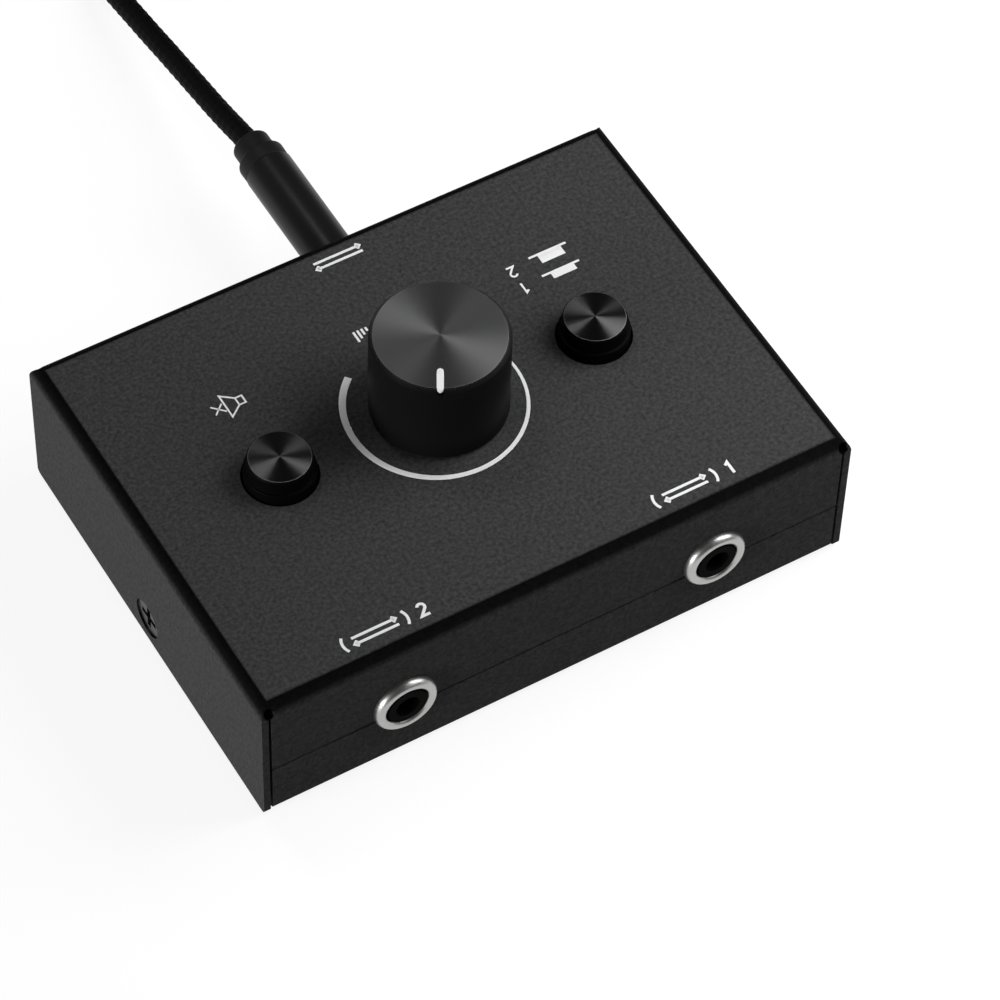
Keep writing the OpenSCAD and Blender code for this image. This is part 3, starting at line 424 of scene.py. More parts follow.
def pointer_bar(name, angle, start, end, width, proud):
    """A bar along a radius: half width is sqrt(1 - t^n) near the round ends, and only its tip slopes down.

    t stops just short of 1, so that no face shrinks to a line.
    """
    along = np.linspace(-POINTER_REACH, POINTER_REACH, POINTER_STEPS)
    reach = (start + end) / 2 + along * (end - start) / 2
    half = width / 2 * np.sqrt(1 - np.abs(along) ** (2 * (end - start) / width))
    drop = np.clip(reach - end + POINTER_TIP, 0, None)
    height = np.array([-POINTER_SUNK, proud / 2, proud, proud, proud / 2, -POINTER_SUNK])
    count = len(ACROSS_BAR)
    r = np.repeat(reach[:, None], count, 1)
    s = half[:, None] * ACROSS_BAR
    h = height[None, :] - drop[:, None]
    c, d = math.cos(angle), math.sin(angle)
    points = np.stack([r * c - s * d, r * d + s * c, h], -1) * MM + face_at
    faces, _, _ = grid_faces(len(reach), count)
    caps = [list(range(count))[::-1], [(len(reach) - 1) * count + k for k in range(count)]]
    return make_piece(name, points.reshape(-1, 3), [face[::-1] for face in faces.tolist() + caps])


pointer_mid = middle("knob_pointer") - face_at
pointer_start, pointer_end = (knob_r - inset for inset in POINTER_ENDS)
pointer = pointer_bar("pointer_line", math.atan2(pointer_mid[1], pointer_mid[0]), pointer_start,
                      pointer_end, POINTER_WIDTH, POINTER_PROUD)
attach(pointer, "volume")
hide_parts("knob_pointer")

# %% [markdown]
# Each socket is held by a ring nut of satin nickel with a rolled bead, so its section is half an ellipse on
# a short wall. It is one closed outline that ends where it starts. The ring behind the rear plug is the
# same piece, placed from its own node.

# %% Ring nuts
RING_R = 4.7
RING_INNER = 3.0
RING_WALL = 0.12
BEAD_STEPS = 29
RING_SIDES = 144


def ring_nut(name, node, front):
    """Half an ellipse: radius = middle + half width cos t, height = wall + rest sin t."""
    low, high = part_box(node)
    rise = (high.y - low.y) / MM - RING_WALL
    t = np.linspace(0, np.pi, BEAD_STEPS)
    mid_r, half_w = (RING_R + RING_INNER) / 2, (RING_R - RING_INNER) / 2
    bead = np.stack([mid_r + half_w * np.cos(t), RING_WALL + rise * np.sin(t)], 1)
    foot = np.array([[RING_INNER, 0], [RING_R, 0]])
    section = np.concatenate([foot, bead, foot[:1]]) * MM
    place = middle(node)
    place[1] = high.y if front < 0 else low.y
    ring = turned(name, section, place, (0, front, 0), RING_SIDES)
    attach(ring, "base")
    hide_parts(node)
    return ring


ring_nuts = [ring_nut(f"{side}_ring_nut", f"{side}_jack_ring", front)
             for side, front in (("left", -1), ("right", -1), ("rear", 1))]

# %% [markdown]
# A plug is a satin black barrel, a collar behind it and a boot whose lip holds the sleeve. A thin dark gap
# shows where the barrel screws against the collar. Both plugs of the lead are alike, so one function makes
# a barrel and a boot from the place and direction of their nodes.

# %% Plugs
BARREL_R, NOSE_R, NOSE_L = 3.65, 3.2, 0.6
BORE_R, THREAD_R, WALL = 2.0, 2.6, 1
COLLAR_R, COLLAR_L, COLLAR_STEP, COLLAR_DRAFT = 3.6, 2.6, 0.1, 0.05
SPIGOT_R, SPIGOT_L = 2.55, 2.6
BOOT_R, LIP_R = 2.85, 1.7
JOIN_GAP = 0.06
PLUG_SIDES = 128


def plug_pieces(prefix, barrel_node, boot_node, back):
    """Outlines along the direction away from the pin, measured from the barrel's shoulder."""
    back = np.array(back, float)
    low, high = (np.array(corner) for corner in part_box(barrel_node))
    shoulder = np.where(back > 0, low, np.where(back < 0, high, (low + high) / 2))
    barrel_l = abs((high - low) @ back) / MM
    low, high = (np.array(corner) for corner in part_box(boot_node))
    boot_l = abs((np.where(back > 0, high, low) - shoulder) @ back) / MM
    collar = barrel_l + COLLAR_L
    near, far = barrel_l - JOIN_GAP, barrel_l + JOIN_GAP
    barrel = [(BORE_R, 0, 0), (NOSE_R, 0, 0.15), (BARREL_R, NOSE_L, 0.4), (BARREL_R, near, 0.12),
              (THREAD_R, near, 0.05), (THREAD_R, WALL, 0), (BORE_R, WALL, 0), (BORE_R, 0, 0)]
    boot = [(0, barrel_l - SPIGOT_L, 0), (SPIGOT_R, barrel_l - SPIGOT_L, 0), (SPIGOT_R, far, 0.05),
            (COLLAR_R - COLLAR_DRAFT, far, 0.12), (COLLAR_R, collar - COLLAR_STEP, 0.8),
            (BOOT_R, collar + COLLAR_STEP, 0.25), (BOOT_R, boot_l, 0.8), (LIP_R, boot_l, 0.2),
            (LIP_R, boot_l - WALL, 0), (0, boot_l - WALL, 0)]
    made = []
    for name, corners, node, slot in ((f"{prefix}_barrel", barrel, barrel_node, "barrel_black"),
                                      (f"{prefix}_boot", boot, boot_node, "boot_black")):
        piece = turned(name, outline(corners), shoulder, tuple(back), PLUG_SIDES)
        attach(piece, "lead")
        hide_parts(node)
        made.append(piece)
    return made


near_plug = plug_pieces("near_end", "plug_barrel", "plug_boot", (0, 1, 0))
far_plug = plug_pieces("far_end", "far_plug_barrel", "far_plug_boot", (1, 0, 0))

# %% [markdown]
# A strip of hook-and-loop tape holds the coil. It goes once round the bundle, and its end is hidden under it
# on the floor. The strip is one flat section with chamfered edges, carried along a loop: the loop is the
# rounded outline of the coil's own section, turned to where the tie is.

# %% Tie around the coil
TIE_HALF = math.radians(9)
TIE_T = 0.5 * MM
TIE_ROOM = 0.55 * MM
TIE_POWER = 0.36
TIE_STEPS = 96


def tie_band(name, node):
    """A loop round the coil's section, thickened outwards and spread along the coil's turn.

    The loop is an oblong with round corners: half size times the signed power of cos t and of sin t.
    """
    low, high = (np.array(corner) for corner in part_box("lead_coil"))
    centre = (low + high) / 2
    outer = (high[0] - low[0]) / 2
    inner = COIL_INNER - CORD_R
    tie_low, tie_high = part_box(node)
    floor_z, roof_z = tie_low.z, tie_high.z
    mid_r, half_w = (inner + outer) / 2, (outer - inner) / 2 + TIE_ROOM
    mid_z, half_h = (floor_z + roof_z) / 2, (roof_z - floor_z) / 2
    turn_round = np.linspace(0, 2 * np.pi, TIE_STEPS + 1)[:-1, None]
    ring_x = np.sign(np.cos(turn_round)) * np.abs(np.cos(turn_round)) ** TIE_POWER
    ring_z = np.sign(np.sin(turn_round)) * np.abs(np.sin(turn_round)) ** TIE_POWER
    thick = np.array([0.84, 1.0, 1.0, 0.84, 0.0, 0.0]) * TIE_T
    spread = np.array([-1, -0.96, 0.96, 1, 1, -1])
    x = mid_r + ring_x * (half_w - TIE_T + thick)
    z = mid_z + ring_z * (half_h - TIE_T + thick)
    angle = np.pi / 2 + TIE_HALF * spread[None, :]
    points = np.stack([centre[0] + x * np.cos(angle), centre[1] + x * np.sin(angle), z], -1)
    rows, columns = points.shape[:2]
    row, column = np.meshgrid(np.arange(rows), np.arange(columns), indexing="ij")
    nxt, after = (row + 1) % rows, (column + 1) % columns
    faces = np.stack([row * columns + column, row * columns + after, nxt * columns + after,
                      nxt * columns + column], -1).reshape(-1, 4)
    u = np.stack([column, column + 1, column + 1, column], -1) / columns
    v = np.stack([row, row, row + 1, row + 1], -1) / rows
    return make_piece(name, points.reshape(-1, 3), faces.tolist(), np.stack([u, v], -1).reshape(-1, 2))


tie = tie_band("coil_tie", "lead_tie")
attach(tie, "lead")
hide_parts("lead_tie")

# %% [markdown]
# The pin and its insulating rings keep their solids.

# %% [markdown]
# The white marks are silk-screened, a few hundredths of a millimetre of ink. They could be painted in the
# finish of the case, but real edges stay sharp from close by. So each is a thin slab: an oblong section
# carried along a flat line, with mitred corners.

# %% Ink strokes
INK = 0.03
INK_TOP = 0.94


def stroke(points, width, closed=False):
    """A slab along a flat line, in mm.

    At a corner the side points move out along the mean of the two normals, divided by the cosine of half
    the turn, so that the line keeps its width.
    """
    p = np.asarray(points, float)
    width = np.broadcast_to(np.asarray(width, float), len(p))
    ahead = np.roll(p, -1, 0) - p
    ahead /= np.linalg.norm(ahead, axis=1, keepdims=True)
    behind = np.roll(ahead, 1, 0)
    if not closed:
        behind[0] = ahead[0]
        ahead[-1] = behind[-1]
    normal_a = np.stack([-ahead[:, 1], ahead[:, 0]], 1)
    normal_b = np.stack([-behind[:, 1], behind[:, 0]], 1)
    mitre = (normal_a + normal_b) / (1 + np.einsum("ij,ij->i", normal_a, normal_b))[:, None]
    offset = mitre * width[:, None] / 2
    flat = np.stack([p + offset, p + offset * INK_TOP, p - offset * INK_TOP, p - offset], 1)
    height = np.broadcast_to(np.array([0, INK, INK, 0])[None, :, None], (*flat.shape[:2], 1))
    slab = np.concatenate([flat, height], 2)
    faces, _, _ = grid_faces(len(p) + (1 if closed else 0), 4)
    faces = (faces % (len(p) * 4)).tolist()
    if not closed:
        last = (len(p) - 1) * 4
        faces += [[3, 2, 1, 0], [last, last + 1, last + 2, last + 3]]
    return slab.reshape(-1, 3), faces


def arc(centre, radius, start, end, steps=16):
    """Points on an arc, angles in degrees."""
    a = np.radians(np.linspace(start, end, steps))
    return np.stack([centre[0] + radius * np.cos(a), centre[1] + radius * np.sin(a)], 1)


def placed(points, at, size=1.0, upside_down=False):
    """Scale a mark, turn it half round if it is read from behind, and move it to its place."""
    return np.asarray(points, float) * (-size if upside_down else size) + at


# %% [markdown]
# Next come the shapes of the marks, drawn in millimetres round their own middles. Such a panel has words
# at its sockets. They are left out, and plain two-way arrows and numbers stand in their places.

# %% Shapes of the marks
HEAD = np.array([[-0.495, 0.45], [0, 0], [-0.495, -0.45]])
HEAD_SINK = 0.25
ARROW_APART = 0.52
BRACKET_R, BRACKET_BOW, BRACKET_HALF = 2.1, 1.5, 34


def numeral(value):
    """The figures 1 and 2, two millimetres high and centred."""
    if value == 1:
        return [np.array([[-0.42, 0.62], [0.08, 1], [0.08, -1]])]
    bow = arc((0, 0.45), 0.52, 160, -35, 14)
    return [np.concatenate([bow, [[-0.58, -0.95], [0.62, -0.95]]])]


def two_way_arrows(length):
    """An arrow to the right above an arrow to the left."""
    half = length / 2
    marks = []
    for side in (1, -1):
        marks.append(np.array([[-half, ARROW_APART], [half - HEAD_SINK, ARROW_APART]]) * side)
        marks.append((HEAD + [half, ARROW_APART]) * side)
    return marks


def bracket(side):
    """A round bracket that bows to the given side."""
    bow = arc((-BRACKET_BOW, 0), BRACKET_R, -BRACKET_HALF, BRACKET_HALF)
    return bow * [side, 1]


print(f"a bracket has {len(bracket(1))} points, and two arrows have {len(two_way_arrows(1))} lines")

# %% [markdown]
# The marks beside the buttons and the knob are read from different sides: those at the back stand upside
# down in the photograph. The ring round the knob is thin where it is quiet and thick where it is loud. The
# loudspeaker is crossed out, and the two button shapes show the selector out and pressed in.

# %% Marks round the knob and the buttons
SCALE_MIDDLE, SCALE_R, SCALE_ENDS = (-0.4, 0.25), 12.55, (130, 410)
SCALE_WIDTHS, SCALE_STEPS = (1.05, 0.3), 181
SPEAKER = [[-22.5, 14.3], [-22.5, 13.0], [-23.5, 13.0], [-25.25, 11.65], [-25.25, 15.65], [-23.5, 14.3]]
SPEAKER_BACK = [[-23.5, 13.1], [-23.5, 14.2]]
CROSS_AT, CROSS = (-26.3, 13.65), ([[-0.85, 0.85], [0.8, -0.8]], [[-0.8, -0.7], [0.75, 0.7]])
OUTLINE, THIN, PLATE = 0.26, 0.24, 0.36
BUTTON_SHAPES = ((15.95, 1.5), (12.3, 1.0))
PLATE_ENDS, BUTTON_ENDS, BUTTON_DROP = (23.45, 29.4), (24.75, 28.45), 0.15
NUMBERS = ((2, 14.95), (1, 11.75))
NUMBER_X, NUMBER_SIZE, NUMBER_LINE = 20.3, 0.9, 0.3
BARS_AT, BAR_COUNT, BAR_STEP, BAR_LINE = (-2.2, 16.4), 4, 0.62, 0.34
BAR_LOW, BAR_RISE = 0.7, 0.4

scale = arc(SCALE_MIDDLE, SCALE_R, *SCALE_ENDS, SCALE_STEPS)
marks = [stroke(scale, np.linspace(*SCALE_WIDTHS, SCALE_STEPS)), stroke(SPEAKER, OUTLINE, closed=True),
         stroke(SPEAKER_BACK, THIN)]
marks += [stroke(placed(line, CROSS_AT), THIN) for line in CROSS]
for y, h in BUTTON_SHAPES:
    marks.append(stroke([[x, y] for x in PLATE_ENDS], PLATE))
    marks.append(stroke([[x, y - BUTTON_DROP - h / 2] for x in BUTTON_ENDS], h))
for value, y in NUMBERS:
    marks += [stroke(placed(line, (NUMBER_X, y), NUMBER_SIZE, True), NUMBER_LINE) for line in numeral(value)]
for k in range(BAR_COUNT):
    bar = [[k * BAR_STEP, 0], [k * BAR_STEP, BAR_LOW + BAR_RISE * k]]
    marks.append(stroke(placed(bar, BARS_AT, 1, True), BAR_LINE))
print(f"{len(marks)} strokes round the knob and the buttons")

# %% [markdown]
# Each socket has two-way arrows. Those in front are in brackets and have the number of their socket. All
# strokes are then joined into one piece, because the ink is one print on one panel.

# %% Marks at the sockets
BOLD, BRACKET_LINE = 0.42, 0.4
REAR_MARK, REAR_ARROWS = (0.65, 29), 7.2
FRONT_MARKS, FRONT_Y, FRONT_ARROWS = ((-26.0, 2), (21.4, 1)), -28.5, 6.6
BRACKET_OFF, FIGURE_OFF = 4.2, 7.1

marks += [stroke(placed(line, REAR_MARK, 1, True), BOLD) for line in two_way_arrows(REAR_ARROWS)]
for x, value in FRONT_MARKS:
    marks += [stroke(placed(line, (x, FRONT_Y)), BOLD) for line in two_way_arrows(FRONT_ARROWS)]
    marks += [stroke(placed(bracket(side), (x + side * BRACKET_OFF, FRONT_Y)), BRACKET_LINE)
              for side in (-1, 1)]
    marks += [stroke(placed(line, (x + FIGURE_OFF, FRONT_Y)), BOLD) for line in numeral(value)]

counts = np.cumsum([0] + [len(points) for points, _ in marks])
ink_points = np.concatenate([points for points, _ in marks]) * MM + [0, 0, panel_z]
ink_faces = [[corner + int(first) for corner in face]
             for (_, faces), first in zip(marks, counts) for face in faces]
prints = make_piece("panel_prints", ink_points, ink_faces)
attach(prints, "base")

# %% [markdown]
# Finishes come next. Nearly all of them share one recipe: a fine noise on the object's own coordinates
# changes the colour and the roughness a little and lifts the surface with a bump, at the grain size that
# the real material has. Numbers that don't vary are set on the shader itself.

# %% A recipe for finishes
FINISHES = {}


def node_in(material, kind, **settings):
    """A new shader node with some of its settings and input values filled in."""
    node = material.node_tree.nodes.new(kind)
    for key, value in settings.items():
        if hasattr(node, key):
            setattr(node, key, value)
        else:
            node.inputs[key.replace("_", " ")].default_value = value
    return node


def finish(slot, colour, roughness, grain, contrast=0.2, rough_spread=0.08, bump=0.15, depth=0.02, **sockets):
    """Noise of one grain size drives colour, roughness and bump; sockets are constants of the shader."""
    material = bpy.data.materials.new(slot + "_finish")
    material.use_nodes = True
    link = material.node_tree.links.new
    shader = material.node_tree.nodes["Principled BSDF"]
    for name, value in sockets.items():
        shader.inputs[name.replace("_", " ")].default_value = value
    place = node_in(material, "ShaderNodeTexCoord")
    noise = node_in(material, "ShaderNodeTexNoise", Scale=1 / (grain * MM), Detail=3.0, Roughness=0.6)
    link(place.outputs["Object"], noise.inputs["Vector"])
    tint = node_in(material, "ShaderNodeMix", data_type="RGBA")
    dark = [c * (1 - contrast) for c in colour]
    light = [c * (1 + contrast) for c in colour]
    tint.inputs[6].default_value = (*dark, 1)
    tint.inputs[7].default_value = (*light, 1)
    link(noise.outputs["Fac"], tint.inputs[0])
    link(tint.outputs[2], shader.inputs["Base Color"])
    rough = node_in(material, "ShaderNodeMapRange")
    rough.inputs["To Min"].default_value = max(roughness - rough_spread, 0.02)
    rough.inputs["To Max"].default_value = min(roughness + rough_spread, 1)
    link(noise.outputs["Fac"], rough.inputs["Value"])
    link(rough.outputs["Result"], shader.inputs["Roughness"])
    lift = node_in(material, "ShaderNodeBump", Strength=bump, Distance=depth * MM)
    link(noise.outputs["Fac"], lift.inputs["Height"])
    link(lift.outputs["Normal"], shader.inputs["Normal"])
    FINISHES[slot] = material
    return material


# %% [markdown]
# Most pieces inside the case are never seen, but they still get the finish of what they are: laminate,
# tinned steel, brass, acetal and black mouldings.

# %% Plain finishes
finish("screw_black", (0.008, 0.008, 0.0082), 0.45, 0.5, Specular_IOR_Level=0.4)
finish("foot_rubber", (0.018, 0.018, 0.018), 0.8, 0.3, bump=0.4, depth=0.03)
finish("board_green", (0.02, 0.12, 0.05), 0.35, 2.0)
finish("brass", (0.62, 0.45, 0.18), 0.3, 0.6, Metallic=1.0)
finish("steel", (0.55, 0.55, 0.56), 0.32, 0.6, Metallic=1.0)
finish("wafer_brown", (0.19, 0.08, 0.03), 0.6, 0.8)
finish("moulding_grey", (0.03, 0.03, 0.033), 0.55, 0.4)
finish("moulding_white", (0.7, 0.69, 0.64), 0.5, 0.6, contrast=0.05)
finish("shaft_metal", (0.6, 0.6, 0.61), 0.3, 0.4, Metallic=1.0)
finish("socket_black", (0.0035, 0.0035, 0.0035), 0.7, 0.3, Specular_IOR_Level=0.02)
finish("plug_metal", (0.66, 0.65, 0.62), 0.16, 0.5, Metallic=1.0, contrast=0.06)
finish("insulator_red", (0.35, 0.01, 0.012), 0.3, 0.5)
finish("pointer_white", (0.88, 0.88, 0.88), 0.5, 0.25, contrast=0.04, bump=0.1)
finish("nickel", (0.42, 0.42, 0.41), 0.35, 0.5, Metallic=1.0, contrast=0.1, rough_spread=0.06, bump=0.08)
finish("boot_black", (0.011, 0.011, 0.011), 0.5, 0.25, bump=0.2, Specular_IOR_Level=0.1)
finish("barrel_black", (0.009, 0.009, 0.0092), 0.36, 0.2, bump=0.1, Specular_IOR_Level=0.17)
print(f"{len(FINISHES)} plain finishes")

# %% [markdown]
# The coat on the case is a fine-textured powder coat. Powder melts into a skin of tiny pits and bumps, half
# a millimetre across. On the folds of the sheet the base colour is made darker, most of all next to the
# panel: this is painted shade. The fold is found from the upright part of the normal in object space,
# which is 1 on the panel, 0 on a side and between them on a fold.

# %% Coat of the case
coat = finish("case_black", (0.048, 0.048, 0.0487), 0.6, 0.55, contrast=0.9, bump=0.6, depth=0.05,
              Specular_IOR_Level=0.014)
# Painted shade on the folds: stops of (upright part of the normal, level of the base colour).
PAINTED_FOLD_SHADE = ((0.1, 1.0), (0.62, 0.12), (0.97, 0.05), (0.997, 1.0))


def paint_fold_shade(material):
    """Painted fold shade: base colour times a ramp over the size of the normal's upright part."""
    link = material.node_tree.links.new
    shader = material.node_tree.nodes["Principled BSDF"]
    colour = shader.inputs["Base Color"].links[0].from_socket
    place = node_in(material, "ShaderNodeTexCoord")
    size = node_in(material, "ShaderNodeVectorMath", operation="ABSOLUTE")
    parts = node_in(material, "ShaderNodeSeparateXYZ")
    ramp = node_in(material, "ShaderNodeValToRGB")
    stops = ramp.color_ramp.elements
    while len(stops) < len(PAINTED_FOLD_SHADE):
        stops.new(0.5)
    for stop, (at, level) in zip(stops, PAINTED_FOLD_SHADE):
        stop.position = at
        stop.color = (level, level, level, 1)
    shade = node_in(material, "ShaderNodeVectorMath", operation="SCALE")
    link(place.outputs["Normal"], size.inputs[0])
    link(size.outputs[0], parts.inputs[0])
    link(parts.outputs["Z"], ramp.inputs["Fac"])
    link(colour, shade.inputs[0])
    link(ramp.outputs["Color"], shade.inputs["Scale"])
    link(shade.outputs[0], shader.inputs["Base Color"])


# Paints shade into the coat's base colour on the folds of the sheet.
paint_fold_shade(coat)
print(f"{coat.name}: {len(coat.node_tree.nodes)} shader nodes")

# %% [markdown]
# Spun metal has tool marks that run round the axis. They spread a highlight into two wedges that meet at
# the centre, which the shader calls anisotropy. Its tangent comes from the UV map of the turned pieces, so
# it runs outwards, across the tool marks. A noise that changes only with the radius draws the marks. On the
# caps each mark also leans outwards, as a pointed tool leaves it, so the half near the lamps is brighter.

# %% Spun faces and black anodising
MARK_DEPTH = 0.004
MARKS_PER_MM = 14
finish("knob_black", (0.006, 0.006, 0.0061), 0.42, 0.12, contrast=0.3, bump=0.08, Specular_IOR_Level=0.045)
finish("cut_edge", (0.17, 0.17, 0.17), 0.62, 0.2, Metallic=1.0, bump=0.05)
finish("button_black", (0.002, 0.002, 0.0021), 0.5, 0.12, contrast=0.3, bump=0.08, Specular_IOR_Level=0.03)


def spun(name, colour, roughness, anisotropy, lean):
    """Height in mm = lean x run + mark depth x noise; run is the first UV number and rises to the centre."""
    material = finish(name, colour, roughness, 0.2, contrast=0.15, bump=0.04,
                      Metallic=1.0, Anisotropic=anisotropy)
    FINISHES.pop(name)  # it belongs to no slot
    link = material.node_tree.links.new
    shader = material.node_tree.nodes["Principled BSDF"]
    tangent = node_in(material, "ShaderNodeTangent", direction_type="UV_MAP", uv_map="turn")
    link(tangent.outputs["Tangent"], shader.inputs["Tangent"])
    where = node_in(material, "ShaderNodeUVMap", uv_map="turn")
    stretch = node_in(material, "ShaderNodeMapping")
    stretch.inputs["Scale"].default_value = (MARKS_PER_MM, 0, 0)
    bands = node_in(material, "ShaderNodeTexNoise", Scale=1.0, Detail=4.0, Roughness=0.7)
    link(where.outputs["UV"], stretch.inputs["Vector"])
    link(stretch.outputs["Vector"], bands.inputs["Vector"])
    split = node_in(material, "ShaderNodeSeparateXYZ")
    slope = node_in(material, "ShaderNodeMath", operation="MULTIPLY")
    slope.inputs[1].default_value = lean
    height = node_in(material, "ShaderNodeMath", operation="MULTIPLY_ADD")
    height.inputs[1].default_value = MARK_DEPTH
    link(where.outputs["UV"], split.inputs[0])
    link(split.outputs["X"], slope.inputs[0])
    link(bands.outputs["Fac"], height.inputs[0])
    link(slope.outputs[0], height.inputs[2])
    lift = shader.inputs["Normal"].links[0].from_node
    link(height.outputs[0], lift.inputs["Height"])
    lift.inputs["Strength"].default_value = 1.0
    lift.inputs["Distance"].default_value = MM
    return material


spun_knob = spun("spun_knob", (0.116, 0.116, 0.1175), 0.6, 0.78, 0)
spun_cap = spun("spun_cap", (0.062, 0.062, 0.063), 0.38, 1.0, 0.18)

# %% [markdown]
# The braid's threads are drawn on the lead's UV map: the first number goes once round, the second is the
# run in millimetres. Two sets of fine slanting bands cross, and where they meet, the sleeve is a little
# darker and deeper. The tie is a looped fabric, with a strong bump and a soft sheen.

# %% Braid and tape
THREADS, THREAD_PITCH, THREAD_DEPTH = 24, 0.85, 0.05
braid = finish("cord_black", (0.0039, 0.0039, 0.0041), 0.6, 0.15, contrast=0.4, bump=0.3,
               Specular_IOR_Level=0.04)


def add_threads(material, count, pitch):
    """Height = the larger of two sines, sin(2 pi (count u + v / pitch)) and its mirror image, where u is
    replaced by -u. The pitch is in mm, as v is.
    """
    link = material.node_tree.links.new
    shader = material.node_tree.nodes["Principled BSDF"]
    where = node_in(material, "ShaderNodeUVMap", uv_map="turn")
    split = node_in(material, "ShaderNodeSeparateXYZ")
    link(where.outputs["UV"], split.inputs[0])
    waves = []
    for sense in (1, -1):
        around = node_in(material, "ShaderNodeMath", operation="MULTIPLY")
        around.inputs[1].default_value = 2 * math.pi * count * sense
        along = node_in(material, "ShaderNodeMath", operation="MULTIPLY_ADD")
        along.inputs[1].default_value = 2 * math.pi / pitch
        wave = node_in(material, "ShaderNodeMath", operation="SINE")
        link(split.outputs["X"], around.inputs[0])
        link(split.outputs["Y"], along.inputs[0])
        link(around.outputs[0], along.inputs[2])
        link(along.outputs[0], wave.inputs[0])
        waves.append(wave)
    height = node_in(material, "ShaderNodeMath", operation="MAXIMUM")
    link(waves[0].outputs[0], height.inputs[0])
    link(waves[1].outputs[0], height.inputs[1])
    lift = node_in(material, "ShaderNodeBump", Strength=0.5, Distance=THREAD_DEPTH * MM)
    old = shader.inputs["Normal"].links[0].from_socket
    link(old, lift.inputs["Normal"])
    link(height.outputs[0], lift.inputs["Height"])
    link(lift.outputs["Normal"], shader.inputs["Normal"])


add_threads(braid, THREADS, THREAD_PITCH)
finish("tie_black", (0.027, 0.027, 0.028), 0.9, 0.25, contrast=0.5, bump=0.6, depth=0.08, Sheen_Weight=0.4)
print(f"{len(FINISHES)} finishes for slots and edges")

# %% [markdown]
# Each solid takes the finish of its material slot, and each new piece takes the finish of the slot that it
# was given. The tops are the exception: level faces near the top are spun, and the sloping faces round them
# are a cut edge, where the turning tool took the black skin off the metal.

# %% Put the finishes on
for part in frame["record"]["subparts"]:
    for holder in NODES[part["node"]].material_slots:
        holder.material = FINISHES[part["material_slot"]]
DRESSED = {
    "nickel": ring_nuts, "cord_black": [lead], "tie_black": [tie],
    "barrel_black": [near_plug[0], far_plug[0]], "boot_black": [near_plug[1], far_plug[1]],
    "pointer_white": [pointer, prints], "button_black": [mute_button, selector_button],
}
for slot, pieces in DRESSED.items():
    for piece in pieces:
        piece.data.materials.append(FINISHES[slot])
knob_face.data.materials.append(FINISHES["knob_black"])
TOP_DEPTH = 0.2 * MM
LEVEL = 0.99
SLOPING = 0.72


def spin_top(piece, spun_finish):
    """Near the top, level faces get the second material and sloping ones, not yet the bevel's, the third."""
    mesh = piece.data
    mesh.materials.append(spun_finish)
    mesh.materials.append(FINISHES["cut_edge"])
    centre = np.zeros(len(mesh.polygons) * 3)
    mesh.polygons.foreach_get("center", centre)
    normal = np.zeros(len(mesh.polygons) * 3)
    mesh.polygons.foreach_get("normal", normal)
    heights, upright = centre.reshape(-1, 3)[:, 2], normal.reshape(-1, 3)[:, 2]
    near_top = heights > heights.max() - TOP_DEPTH
    level, sloping = near_top & (upright > LEVEL), near_top & (upright > SLOPING) & (upright <= LEVEL)
    mesh.polygons.foreach_set("material_index", level.astype(np.int32) + 2 * sloping.astype(np.int32))
    return int(level.sum()), int(sloping.sum())


tops = ((knob_face, spun_knob), (mute_button, spun_cap), (selector_button, spun_cap))
print("spun and cut faces:", [spin_top(piece, spun_finish) for piece, spun_finish in tops])

# %% [markdown]
# The floor is a plain pale sheet, and the studio is a dim white room. The camera and mirror-like pieces see
# the floor brighter than it is, so that it comes out white, while the light that falls on the object stays
# at a plain level.

# %% Floor and room
FLOOR_HALF = 6
FLOOR_GREY = 0.2
FLOOR_GLOW = 0.865
ROOM_LEVEL = 0.058


def seen_directly(tree):
    """1 for camera, glossy and transmission rays, and 0 for the others."""
    path = tree.nodes.new("ShaderNodeLightPath")
    total = path.outputs["Is Camera Ray"]
    for ray in ("Is Glossy Ray", "Is Transmission Ray"):
        larger = tree.nodes.new("ShaderNodeMath")
        larger.operation = "MAXIMUM"
        tree.links.new(total, larger.inputs[0])
        tree.links.new(path.outputs[ray], larger.inputs[1])
        total = larger.outputs[0]
    return total


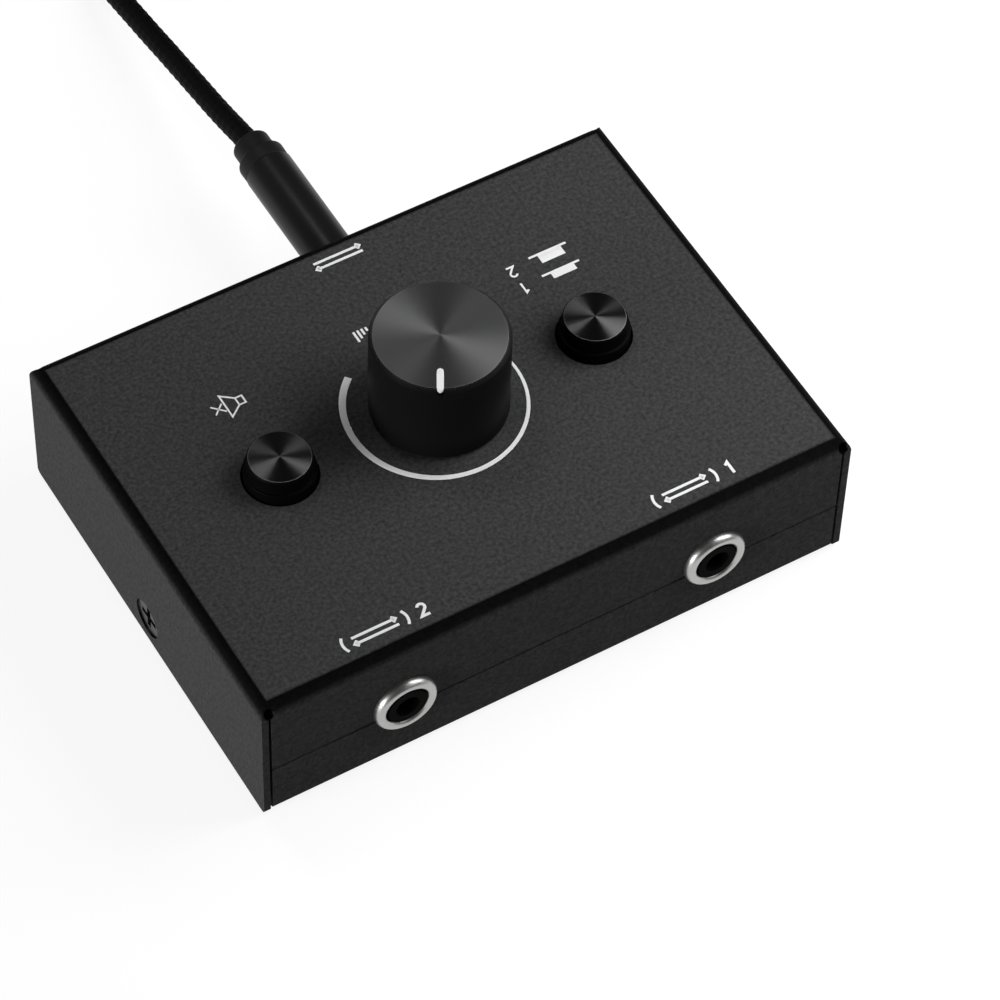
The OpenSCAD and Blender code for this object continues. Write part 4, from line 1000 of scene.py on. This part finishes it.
corners = np.array([[-1, -1, 0], [1, -1, 0], [1, 1, 0], [-1, 1, 0]], float) * FLOOR_HALF
floor = make_piece("studio_floor", corners, [[0, 1, 2, 3]])
floor_finish = bpy.data.materials.new("pale_floor")
floor_finish.use_nodes = True
floor_tree = floor_finish.node_tree
floor_shader = floor_tree.nodes["Principled BSDF"]
floor_shader.inputs["Base Color"].default_value = (FLOOR_GREY, FLOOR_GREY, FLOOR_GREY, 1)
floor_shader.inputs["Roughness"].default_value = 1.0
floor_shader.inputs["Specular IOR Level"].default_value = 0.0
floor_shader.inputs["Emission Color"].default_value = (1, 1, 1, 1)
glow = floor_tree.nodes.new("ShaderNodeMath")
glow.operation = "MULTIPLY"
glow.inputs[1].default_value = FLOOR_GLOW
floor_tree.links.new(seen_directly(floor_tree), glow.inputs[0])
floor_tree.links.new(glow.outputs[0], floor_shader.inputs["Emission Strength"])
floor.data.materials.append(floor_finish)

room = bpy.data.worlds.new("white_room")
scene.world = room
room.use_nodes = True
room_tree = room.node_tree
air = room_tree.nodes["Background"]
air.inputs["Color"].default_value = (1, 1, 1, 1)
air.inputs["Strength"].default_value = ROOM_LEVEL

# %% [markdown]
# Four soft square lamps light the object. A large one on the left shows the side. A small one close by on
# the right makes the panel brighter towards its right. One in front lifts the front face and puts a line of
# light on the rings, and a small one behind draws the long highlight on the plug. The right and the back
# lamp each put a pair of wedges on spun metal: they cross on the caps and run together on the knob.

# %% Lamps


def soft_lamp(name, direction, distance, size, watts):
    """A square area lamp that looks at the object from the given direction."""
    data = bpy.data.lights.new(name, "AREA")
    data.size = size
    data.energy = watts
    lamp = bpy.data.objects.new(name, data)
    towards = Vector(direction).normalized()
    facing = towards.to_track_quat("Z", "Y").to_matrix().to_4x4()
    lamp.matrix_world = Matrix.Translation(towards * distance) @ facing
    scene.collection.objects.link(lamp)
    print(f"{name}: {watts} W, {size} m")


soft_lamp("left_lamp", (-0.97, -0.12, 0.06), 1.3, 0.7, 23)
soft_lamp("right_lamp", (0.7, -0.14, 0.7), 0.235, 0.17, 0.5)
soft_lamp("front_lamp", (0.5, -0.66, 0.56), 1.0, 0.5, 0.58)
soft_lamp("back_lamp", (-0.08, 0.47, 0.879), 0.8, 0.16, 0.88)
scene.view_settings.view_transform = "Standard"
